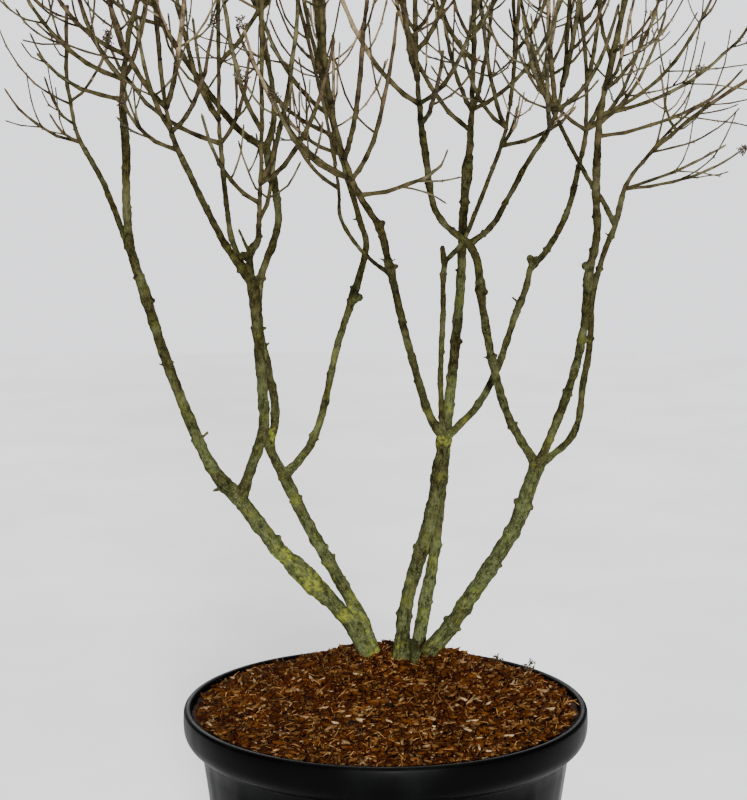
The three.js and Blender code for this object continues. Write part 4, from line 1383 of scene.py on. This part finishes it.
class Growth:
    """The twigs of the whole plant, mass by mass, and the buds and heads at their nodes and tips"""

    def __init__(self, settings):
        self.settings = settings
        self.leaders = [leaders_of(mass, index) for index, mass in enumerate(MASSES)]
        self.space = Space(self.leaders)
        self.buds = []
        self.heads = []
        self.slim = 1

    def draw_twig(self, bundle, twig, order, tone, random):
        """A twig that is swollen and slightly kinked at its nodes, with pairs of buds at most of them"""
        length = np.linalg.norm(twig.reach)
        steps = 2 * max(2, round(length / self.settings.step / 2))
        points, radii = shoot_line(twig, steps)
        for index in range(2, steps, 2):
            kink = np.array([random() - 0.5 for _ in range(3)])
            points[index] += kink * min(KINK, KINK_SHARE * length)
        points[1:-1:2] += ((points[:-2:2] + points[2::2]) / 2 - points[1:-1:2]) * KINK_FOLLOWED
        radii = radii * np.interp(np.linspace(0, 1, steps + 1), GIRTHS_AT, GIRTHS[order])
        radii *= self.slim if order else 1
        radii[2::2] *= NODE_GIRTH
        radii[0] *= FOOT_GIRTH if order else 1
        bundle.tube(points, radii, TWIG_SIDES[order], tone, OLD_WOOD, mix(*OLD_SHARE[order], random()))
        turn = random() * math.pi
        for index in range(2, steps, 2):
            tangent = unit(points[index] - points[index - 1])
            out = turned(tangent, turn)
            if random() < BUD_PAIRS:
                for sign in (1, -1):
                    place = points[index] + out * sign * radii[index] * BUD_INSET
                    self.bud(place, tangent * BUD_LEAN + out * sign, SIDE_BUD)
            turn += math.pi / 2
        self.bud(points[-1], unit(points[-1] - points[-2]), TIP_BUD)
        return points

    def bud(self, place, way, share):
        self.buds.append((place, way, self.settings.bud * share, self.settings.bud * BUD_GIRTH * share))

    def holds(self, twig, steps, room):
        return self.space.holds(samples(*shoot_line(twig, steps)), *room[:2])

    def grow(self, bundle, twig, order, tone, room, random, kept=()):
        """Draws a twig with the side twigs kept for it, and the finer ones that it has room for"""
        points = self.draw_twig(bundle, twig, order, tone, random)
        if random() < HEAD_SHARE.get(order, 0):
            self.heads.append((points[-1], unit(points[-1] - points[-2])))
        for side_twig in kept:
            self.grow(bundle, side_twig, 2, tone, room, random)
        if order not in FINER:
            return
        shares, chance, part, least = FINER[order]
        coarse, radii = shoot_line(twig, coarse_rings(twig))
        reach = np.linalg.norm(twig.reach)
        turn = random() * math.pi
        for at in shares:
            for fine in pair_at(coarse, radii, at, turn, part * reach * (FINER_FADE - at) + least, random):
                fine.reach[2] += FINER_LIFT * np.linalg.norm(fine.reach)
                if random() < chance * room[2] and self.holds(fine, 2, room):
                    self.grow(bundle, fine, max(order + 1, 2), tone, room, random)
            turn += math.pi / 2

    def mass(self, index):
        """One mass of twigs as a bundle: the source's stem, shoots and side twigs, carried on finer"""
        leaders = self.leaders[index]
        mass = MASSES[index]
        share, self.slim = (BARE_SHARE, SLIM) if mass.name in BARE_MASSES else (1, 1)
        room = (index, self.space.limbs_for(mass.bough, leaders[0].start), share)
        source = random_run(TWIG_SEED[0] + TWIG_SEED[1] * index)
        random = random_run(FINE_SEED[0] + FINE_SEED[1] * index)
        bundle = Bundle()
        for number, leader in enumerate(leaders):
            pairs = pairs_on(leader, source)
            kept = [twig for twig in pairs if self.holds(twig, 1, room)]
            if source() < HEAD_CHANCE:
                self.heads.append((leader.start + leader.reach, unit(leader.reach - leader.bend)))
                # The part's source draws these numbers for the rays of its plainer flower head
                for _ in range(2 * HEAD_RAYS):
                    source()
            tone = TONES[int(random() * len(TONES))]
            self.grow(bundle, leader, min(number, 1), tone, room, random, kept)
        return bundle


def dried_head(bundle, place, way, length, random):
    """What is left of a flower head: a thin axis with whorls of stalks that end in tiny dry capsules"""
    side = unit(np.cross(way, away_from(way)))
    other = np.cross(way, side)
    places, ways = [], []
    line = np.array([place + way * length * share for share in (0, 0.5, 1)])
    bundle.tube(line, np.array(HEAD_AXIS), HEAD_SIDES)
    for level in range(HEAD_LEVELS):
        share = (level + LEVEL_SHARE) / HEAD_LEVELS
        foot = place + way * length * share
        for stalk in range(STALKS):
            turn = stalk * math.pi / 2 + level * LEVEL_TURN + random() * STALK_TURN_VARY
            if random() < STALK_LOST:
                continue
            out = side * math.cos(turn) + other * math.sin(turn)
            long = length * mix(*STALK_SHARE, share) * mix(*STALK_VARY, random())
            stalk_line = [foot]
            for outward, ahead, up in STALK_HALVES:
                half = (out * outward + way * ahead + (0, 0, up)) * long * 0.5
                stalk_line.append(stalk_line[-1] + half)
            bundle.tube(np.array(stalk_line), np.array(STALK_RADII), STALK_SIDES)
            for capsule in range(CAPSULES):
                sideways, across, ahead = (random() - middle for middle in CAPSULE_MIDDLE)
                strewn = side * sideways + other * across + way * ahead
                places.append(stalk_line[-1] + strewn * CAPSULE_SPREAD if capsule else stalk_line[-1])
                ways.append(out + way)
    lengths = np.full(len(places), CAPSULE_LENGTH)
    bundle.beads(np.array(places), np.array(ways), lengths, np.full(len(places), CAPSULE_RADIUS))


def build_twigs(settings):
    """Each mass of twigs, all their buds, and the dried flower heads"""
    finishes = []
    for kind, roughness in KINDS:
        dark, light = getattr(settings, kind + "_dark"), getattr(settings, kind + "_light")
        finishes.append(twig_finish("twig_" + kind, dark, light, roughness))
    growth = Growth(settings)
    for index, mass in enumerate(MASSES):
        growth.mass(index).piece(mass.name + "_grown", finishes, "twigs", [mass.name])
    buds = Bundle()
    buds.beads(*(np.array(column) for column in zip(*growth.buds)))
    bud_finish = twig_finish("winter_buds", tint("2a1f12"), tint("6a5234"), 0.6)
    buds.piece("winter_buds", [bud_finish], "twigs")
    heads = Bundle()
    random = random_run(HEAD_SEED)
    fallen = [(np.array(place), unit(np.array(way))) for place, way in FALLEN_HEADS]
    for place, way in growth.heads + fallen:
        dried_head(heads, place, way, settings.head * mix(*HEAD_SIZE, random()), random)
    head_finish = twig_finish("dried_flowers", tint("1c160e"), tint("4d4332"), 0.9)
    heads.piece("dried_flower_heads", [head_finish], "twigs")


# Pot, mulch and potting mix

TURN_STEPS = 160
RIBS = 18
RIB_SHARPNESS = 6
# Height where the ribs begin, and how far they take to rise above it and to fade under the body's top
RIBS_FROM = 0.02
RIB_RISE = 0.03
RIB_FADE = 0.02
FOOT_ROUNDING = 0.007
LIP_WIDTH = 0.0075
LIP_DEPTH = 0.009
BAND_ROUNDING = (0.03, 0.034)
BAND_SUNK = 0.002
# The band's side: how far it stands out past the rim, at two heights
BAND_SIDE = ((0.0006, 0.514), (0.0004, 0.522))
# Where the even stretches end: under the band outside, and under the lip and the step inside
UNDER_BAND = 0.006
UNDER_LIP = 0.014
UNDER_STEP = 0.04
# Rings on the underside and on the floor inside, which keep their faces small round the drains
UNDERSIDE_RINGS = (0, 0.12, 0.2, 0.24)
FLOOR_RINGS = (0.22, 0.18, 0)
FLOOR_CORNER = 0.004
DRAIN_SIDES = 24
DRAIN_DEPTH = 0.05


def body_radius(height):
    return mix(BASE_RADIUS, BODY_TOP_RADIUS, min(height / BODY_TOP, 1))


def inner_radius(height):
    body = body_radius(height)
    step = max(0, (height - BODY_TOP) / (BAND_BOTTOM - BODY_TOP))
    band_inside = RIM_RADIUS - BAND_LIP
    return min(body - WALL + step * (band_inside - body + WALL), band_inside)


def arc(centre, radii, start, end, steps):
    """Places on a quarter or half round, from one angle in degrees to another"""
    turns = [math.radians(mix(start, end, step / steps)) for step in range(steps + 1)]
    return [(centre[0] + radii[0] * math.cos(turn), centre[1] + radii[1] * math.sin(turn)) for turn in turns]


def pot_outline():
    """From the middle of the underside, up the outside, over the rolled lip and down the inside"""
    band = (RIM_RADIUS - BAND_ROUNDING[0], BAND_BOTTOM - BAND_SUNK)
    lip = (RIM_RADIUS - LIP_WIDTH, POT_TOP - LIP_DEPTH)
    outline = [(radius, 0) for radius in UNDERSIDE_RINGS]
    outline += arc((BASE_RADIUS - FOOT_ROUNDING, FOOT_ROUNDING), (FOOT_ROUNDING, FOOT_ROUNDING), -90, -5, 5)
    outline += [(body_radius(h), h) for h in np.linspace(RIBS_FROM, BODY_TOP - UNDER_BAND, 18)]
    outline += arc(band, BAND_ROUNDING, -78, 0, 10)
    outline += [(RIM_RADIUS + out, height) for out, height in BAND_SIDE]
    outline += arc(lip, (LIP_WIDTH, LIP_DEPTH), 12, 90, 6)
    outline += arc(lip, (LIP_WIDTH, LIP_DEPTH), 105, 180, 6)
    outline += [(inner_radius(h), h) for h in np.linspace(POT_TOP - UNDER_LIP, BODY_TOP, 8)]
    outline += [(inner_radius(h), h) for h in np.linspace(BODY_TOP - UNDER_STEP, FLOOR + FLOOR_CORNER, 10)]
    outline += [(inner_radius(FLOOR) - FLOOR_CORNER, FLOOR)]
    outline += [(radius, FLOOR) for radius in FLOOR_RINGS]
    return outline


def add_ribs(shape, height_out):
    """Moves the outside of the body out along its upright ribs"""
    for vertex in shape.verts:
        radius, height = math.hypot(vertex.co.x, vertex.co.y), vertex.co.z
        if RIBS_FROM < height < BODY_TOP and abs(radius - body_radius(height)) < WALL / 2:
            turn = math.atan2(vertex.co.y, vertex.co.x)
            fade = min(1, (height - RIBS_FROM) / RIB_RISE, (BODY_TOP - height) / RIB_FADE)
            rib = height_out * fade * max(0, math.cos(RIBS * turn)) ** RIB_SHARPNESS
            vertex.co.xy *= (radius + rib) / radius


def drain_cutter():
    """A ring of upright rods, one through each drain hole"""
    rods = bmesh.new()
    for number in range(DRAINS):
        turn = 2 * math.pi * (number + 0.5) / DRAINS
        rod = bmesh.ops.create_cone(
            rods,
            cap_ends=True,
            segments=DRAIN_SIDES,
            radius1=DRAIN_RADIUS,
            radius2=DRAIN_RADIUS,
            depth=DRAIN_DEPTH,
        )
        place = (DRAIN_RING * math.cos(turn), DRAIN_RING * math.sin(turn), 0)
        bmesh.ops.translate(rods, verts=rod["verts"], vec=place)
    return placed("drain_cutter", mesh_of(rods, "drain_cutter"))


def build_pot(settings):
    """The pot as one moulding: base with drain holes, ribbed body, rolled band"""
    shape = lathed(pot_outline(), TURN_STEPS)
    add_ribs(shape, settings.rib)
    mesh = mesh_of(shape, "pot_moulding")
    mesh.shade_smooth()
    cutter = drain_cutter()
    moulding = placed("pot_rough", mesh)
    drains = moulding.modifiers.new("drains", "BOOLEAN")
    drains.operation = "DIFFERENCE"
    drains.object = cutter
    bored = applied(moulding, cutter)
    bored.name = "pot_moulding"
    piece_of(bored, "pot_moulding", [pot_finish(settings)], ["pot"])
    mix_finish = soil_finish("potting_mix", tint("1a120b"), tint("3a2a1b"))
    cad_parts["potting_mix"].material_slots[0].material = mix_finish


# Kinds of chip: name, dark and light colour, how many, size beside the usual, width, thickness
CHIPS = (
    ("umber", "240c02", "3b1b08", 3800, 0.85, 0.34, 0.13),
    ("rust", "361803", "54300f", 3700, 1.0, 0.28, 0.11),
    ("amber", "472b0e", "6c4b27", 2600, 1.0, 0.24, 0.1),
    ("tan", "5f462a", "886d4b", 900, 1.0, 0.2, 0.08),
    ("straw", "836c4c", "b09772", 220, 1.05, 0.2, 0.08),
)
CHIP_SEED = 83
# Outline of a chip beside its half length and half width, and how far its corners stray from that
CHIP_OUTLINE = ((1, 0.1), (0.55, 0.9), (-0.5, 1.0), (-1, 0.0), (-0.6, -0.9), (0.5, -1.0))
CHIP_CORNERS = (0.6, 1.15)
# How much the chips' lengths vary, and the least and the most beside the usual
CHIP_VARY = 0.38
CHIP_LIMITS = (0.4, 1.75)
# How unevenly thick a chip is, how much smaller its underside is, and how it bows and leans
CHIP_UNEVEN = (0.5, 1.2)
CHIP_UNDERSIDE = 0.9
CHIP_BEND = 0.16
CHIP_TILT = 0.28
# How far the chips lie under or over the mulch's height, and how far clear of the wall
CHIP_DEPTHS = (-0.004, 0.006)
CHIP_MARGIN = 0.012
# How far the loose chips lie above the solid mulch, everywhere and by the wall
CHIP_LIFT = 0.0035
WALL_RISE = 0.0055
WALL_POWER = 6
# Splinters among the chips: length beside a chip's, radii from end to end, and the rest as above
FIBRES = 1500
FIBRE_LENGTH = (0.7, 2.2)
FIBRE_RADII = (0.0005, 0.0009, 0.0004)
FIBRE_BOW = 0.12
FIBRE_TILT = 0.4
FIBRE_DEPTHS = (-0.002, 0.008)
FIBRE_MARGIN = 0.01
# The bed under the chips: its rings, and how rough it is and how far it lies under the mulch's height
BED_RINGS = 60
BED_DROP = 0.005
BED_TOP_FROM = MULCH_EDGE - 0.001
BED_FINENESS = 70
BED_NOISE = (0.8, 2.0, 4)


def mulch_top(x, y):
    """Height of the loose mulch: under the rim, heaped round the stems' feet and a little by the wall"""
    away = (x - MOUND_CENTRE[0]) ** 2 + (y - MOUND_CENTRE[1]) ** 2
    outward = np.hypot(x, y) / inner_radius(MULCH_EDGE)
    inward = np.minimum(1, np.maximum(0, 1 - outward) / MOUND_EDGE_SHARE)
    heap = MOUND_HEIGHT * np.exp(-away / (2 * MOUND_SPREAD**2)) * inward
    return MULCH_EDGE + heap + CHIP_LIFT + WALL_RISE * np.minimum(1, outward) ** WALL_POWER


def spots_in_pot(random, count, margin):
    """Places spread evenly over the mulch"""
    radius = (inner_radius(MULCH_EDGE) - margin) * np.sqrt(random.random(count))
    turn = random.random(count) * 2 * math.pi
    x, y = radius * np.cos(turn), radius * np.sin(turn)
    return x, y, mulch_top(x, y)


def turned_axes(random, count, tilt):
    """Three axes for each of many chips that lie nearly flat, each turned its own way"""
    heading = random.random(count) * 2 * math.pi
    pitch = random.normal(0, tilt, count)
    roll = random.normal(0, tilt, count)
    long = np.stack((np.cos(heading) * np.cos(pitch), np.sin(heading) * np.cos(pitch), np.sin(pitch)), axis=1)
    wide = np.stack((-np.sin(heading) * np.cos(roll), np.cos(heading) * np.cos(roll), np.sin(roll)), axis=1)
    return long, wide, unit_rows(np.cross(long, wide))


def scattered_chips(random, count, length, width, thickness):
    """Splintered chips: six-sided plates with ragged ends, as one bundle"""
    x, y, z = spots_in_pot(random, count, CHIP_MARGIN)
    long, wide, thick = turned_axes(random, count, CHIP_TILT)
    size = length * np.clip(random.lognormal(0, CHIP_VARY, count), *CHIP_LIMITS) * 0.5
    corners = np.array(CHIP_OUTLINE)[None] * random.uniform(*CHIP_CORNERS, (count, 6, 2))
    flat = corners[:, :, :1] * (long * size[:, None])[:, None]
    flat = flat + corners[:, :, 1:] * (wide * (size * width)[:, None])[:, None]
    uneven = random.uniform(*CHIP_UNEVEN, (count, 6, 1))
    lift = (thick * (size * thickness * 2)[:, None])[:, None] * uneven
    centre = np.stack((x, y, z + random.uniform(*CHIP_DEPTHS, count)), axis=1)[:, None]
    curl = size * random.normal(0, CHIP_BEND, count)
    bend = thick[:, None] * (corners[:, :, :1] ** 2) * curl[:, None, None]
    upper = centre + flat + bend + lift
    lower = centre + flat * CHIP_UNDERSIDE + bend - lift
    points = np.concatenate((upper, lower), axis=1)
    sides = [(k, k + 6, (k + 1) % 6 + 6, (k + 1) % 6) for k in range(6)]
    quads = sides + [(0, 1, 2, 3), (0, 3, 4, 5), (9, 8, 7, 6), (11, 10, 9, 6)]
    starts = np.arange(count)[:, None, None] * 12
    bundle = Bundle()
    bundle.add(points.reshape(-1, 3), (np.array(quads)[None] + starts).reshape(-1, 4), ())
    return bundle


def scattered_fibres(random, usual):
    """Thin bowed splinters, every other one in a paler tone, as one bundle"""
    bundle = Bundle()
    x, y, z = spots_in_pot(random, FIBRES, FIBRE_MARGIN)
    long, wide, thick = turned_axes(random, FIBRES, FIBRE_TILT)
    shares = np.array((-0.5, 0, 0.5))[:, None]
    for number in range(FIBRES):
        length = usual * random.uniform(*FIBRE_LENGTH)
        middle = np.array((x[number], y[number], z[number] + random.uniform(*FIBRE_DEPTHS)))
        upward = thick[number] * length * random.normal(0, FIBRE_BOW)
        bow = upward + wide[number] * length * random.normal(0, FIBRE_BOW)
        line = middle + long[number] * length * shares + bow * (0.25 - shares**2) * 4
        bundle.tube(line, np.array(FIBRE_RADII), 3, number % 2)
    return bundle


def mulch_bed():
    """The heaped bed under the chips, down to the potting mix"""
    edge = inner_radius(MULCH_EDGE) - GAP
    outline = [(0, MIX_TOP)] + [(inner_radius(h) - GAP, h) for h in (MIX_TOP, BODY_TOP, BAND_BOTTOM)]
    outline += [(edge * share, MULCH_EDGE) for share in np.linspace(1, 0, BED_RINGS)]
    shape = lathed(outline, TURN_STEPS)
    for vertex in shape.verts:
        if vertex.co.z > BED_TOP_FROM:
            rough = noise.fractal(vertex.co * BED_FINENESS, *BED_NOISE) * BED_DROP
            vertex.co.z = float(mulch_top(vertex.co.x, vertex.co.y)) + rough - BED_DROP
    mesh = mesh_of(shape, "mulch_bed")
    mesh.shade_smooth()
    return mesh


def build_mulch(settings):
    """The bed of mulch, and the chips and fibres that cover it"""
    bed_finish = soil_finish("mulch_bed", tint("120a05"), tint("3b2010"))
    piece_of(mulch_bed(), "mulch_bed", [bed_finish], ["bark_mulch"])
    random = np.random.default_rng(CHIP_SEED)
    for kind, dark, light, count, size, width, thickness in CHIPS:
        chips = scattered_chips(random, count, settings.chip * size, width, thickness)
        finish = chip_finish("chips_" + kind, tint(dark), tint(light))
        chips.piece("chips_" + kind, [finish], "bark_mulch")
    finishes = [
        chip_finish("fibres_dark", tint("2a1206"), tint("552b10")),
        chip_finish("fibres_pale", tint("6a4420"), tint("a9804c")),
    ]
    scattered_fibres(random, settings.chip).piece("bark_fibres", finishes, "bark_mulch")


# Stage

STAGE_RINGS = (0, 2, 5, 9)
STAGE_STEPS = 96
# Brightness of the pale surroundings where they show, at the horizon and well above it, and as a light
SKY_STRENGTH = (2.25, 2.6)
SKY_HEIGHTS = (-0.02, 0.25)
SKY_LIGHT = 0.15
SENSOR_WIDTH = 36
# Soft lights: name, where the light comes from, how wide it spreads in degrees, strength
LIGHTS = (
    ("key", (0.3, -2.6, 0.6), 9, 8.7),
    ("top", (0.1, -0.2, 2.5), 60, 1.55),
    ("back", (-0.25, 2.0, 1.7), 55, 3.2),
)


def add_floor(settings):
    shape = lathed([(radius, 0) for radius in STAGE_RINGS], STAGE_STEPS)
    mesh = mesh_of(shape, "stage_floor")
    finish = Finish("stage_floor", 0.9, 0.1)
    colour = finish.blend(finish.span(finish.noise(1.5, 2), 0.3, 0.7), settings.floor, tint("ededf0"))
    mesh.materials.append(finish.done(colour))
    floor = placed("stage_floor", mesh)


def add_surroundings():
    """Pale surroundings that show bright but light the plant only a little"""
    world = bpy.data.worlds.new("pale_surroundings")
    world.use_nodes = True
    nodes, links = world.node_tree.nodes, world.node_tree.links
    upward = nodes.new("ShaderNodeSeparateXYZ")
    links.new(nodes.new("ShaderNodeTexCoord").outputs["Generated"], upward.inputs[0])
    strength = nodes.new("ShaderNodeMapRange")
    links.new(upward.outputs["Z"], strength.inputs[0])
    for socket, value in zip(strength.inputs[1:5], (*SKY_HEIGHTS, *SKY_STRENGTH)):
        socket.default_value = value
    seen = nodes.new("ShaderNodeMix")
    links.new(nodes.new("ShaderNodeLightPath").outputs["Is Camera Ray"], seen.inputs[0])
    seen.inputs[2].default_value = SKY_LIGHT
    links.new(strength.outputs[0], seen.inputs[3])
    background = nodes["Background"]
    background.inputs["Color"].default_value = (*tint("dfe0e4"), 1)
    links.new(seen.outputs[0], background.inputs["Strength"])
    bpy.context.scene.world = world


def add_lights():
    for name, source, spread, strength in LIGHTS:
        light = bpy.data.lights.new(name, "SUN")
        light.angle = math.radians(spread)
        light.energy = strength
        lamp = placed(name, light)
        lamp.location = source
        lamp.rotation_euler = Vector(source).to_track_quat("Z", "Y").to_euler()


def add_camera(settings):
    camera_data = bpy.data.cameras.new("camera")
    camera_data.lens = settings.lens
    camera_data.sensor_width = SENSOR_WIDTH
    camera = placed("camera", camera_data)
    camera.location = (settings.aside, -settings.distance, settings.height)
    camera.rotation_euler = (math.pi / 2 - settings.tilt, 0, 0)
    bpy.context.scene.camera = camera


def build_stage(settings):
    """Pale floor, pale surroundings, soft lights, and the camera at the photograph's angle"""
    add_floor(settings)
    add_surroundings()
    add_lights()
    add_camera(settings)


# Operators and panel


class HYDRANGEA_OT_bark(bpy.types.Operator):
    """Builds the bark of the stems and boughs"""

    bl_idname = "hydrangea.bark"
    bl_label = "Stems and boughs"

    def execute(self, context):
        build_bark(context.scene.hydrangea_bark)
        return {"FINISHED"}


class HYDRANGEA_OT_twigs(bpy.types.Operator):
    """Grows the masses of twigs with their buds and dried flower heads"""

    bl_idname = "hydrangea.twigs"
    bl_label = "Twigs, buds and flower heads"

    def execute(self, context):
        build_twigs(context.scene.hydrangea_twigs)
        return {"FINISHED"}


class HYDRANGEA_OT_pot(bpy.types.Operator):
    """Builds the nursery pot"""

    bl_idname = "hydrangea.pot"
    bl_label = "Nursery pot"

    def execute(self, context):
        build_pot(context.scene.hydrangea_pot)
        return {"FINISHED"}


class HYDRANGEA_OT_mulch(bpy.types.Operator):
    """Fills the pot with bark mulch"""

    bl_idname = "hydrangea.mulch"
    bl_label = "Bark mulch"

    def execute(self, context):
        build_mulch(context.scene.hydrangea_pot)
        return {"FINISHED"}


class HYDRANGEA_OT_stage(bpy.types.Operator):
    """Sets up the floor, the lights and the camera"""

    bl_idname = "hydrangea.stage"
    bl_label = "Stage"

    def execute(self, context):
        build_stage(context.scene.hydrangea_stage)
        return {"FINISHED"}


SETTINGS = {
    "hydrangea_bark": BarkSettings,
    "hydrangea_twigs": TwigSettings,
    "hydrangea_pot": PotSettings,
    "hydrangea_stage": StageSettings,
}
OPERATORS = (HYDRANGEA_OT_stage, HYDRANGEA_OT_pot, HYDRANGEA_OT_mulch, HYDRANGEA_OT_bark, HYDRANGEA_OT_twigs)


class HYDRANGEA_PT_sidebar(bpy.types.Panel):
    """Lists the hydrangea's pieces and their settings"""

    bl_label = "Hydrangea"
    bl_idname = "HYDRANGEA_PT_sidebar"
    bl_space_type = "VIEW_3D"
    bl_region_type = "UI"
    bl_category = "Hydrangea"

    def draw(self, context):
        for operator in OPERATORS:
            self.layout.operator(operator.bl_idname)
        for key, group in SETTINGS.items():
            box = self.layout.box()
            box.label(text=group.__doc__)
            for name in group.__annotations__:
                box.prop(getattr(context.scene, key), name)


def register():
    for group in SETTINGS.values():
        bpy.utils.register_class(group)
    for key, group in SETTINGS.items():
        setattr(bpy.types.Scene, key, bpy.props.PointerProperty(type=group))
    for operator in (*OPERATORS, HYDRANGEA_PT_sidebar):
        bpy.utils.register_class(operator)


def unregister():
    for operator in (HYDRANGEA_PT_sidebar, *reversed(OPERATORS)):
        bpy.utils.unregister_class(operator)
    for key, group in SETTINGS.items():
        delattr(bpy.types.Scene, key)
        bpy.utils.unregister_class(group)


def main():
    register()
    bpy.ops.hydrangea.stage()
    bpy.ops.hydrangea.pot()
    bpy.ops.hydrangea.mulch()
    bpy.ops.hydrangea.bark()
    bpy.ops.hydrangea.twigs()
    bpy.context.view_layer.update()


if __name__ == "__main__":
    main()
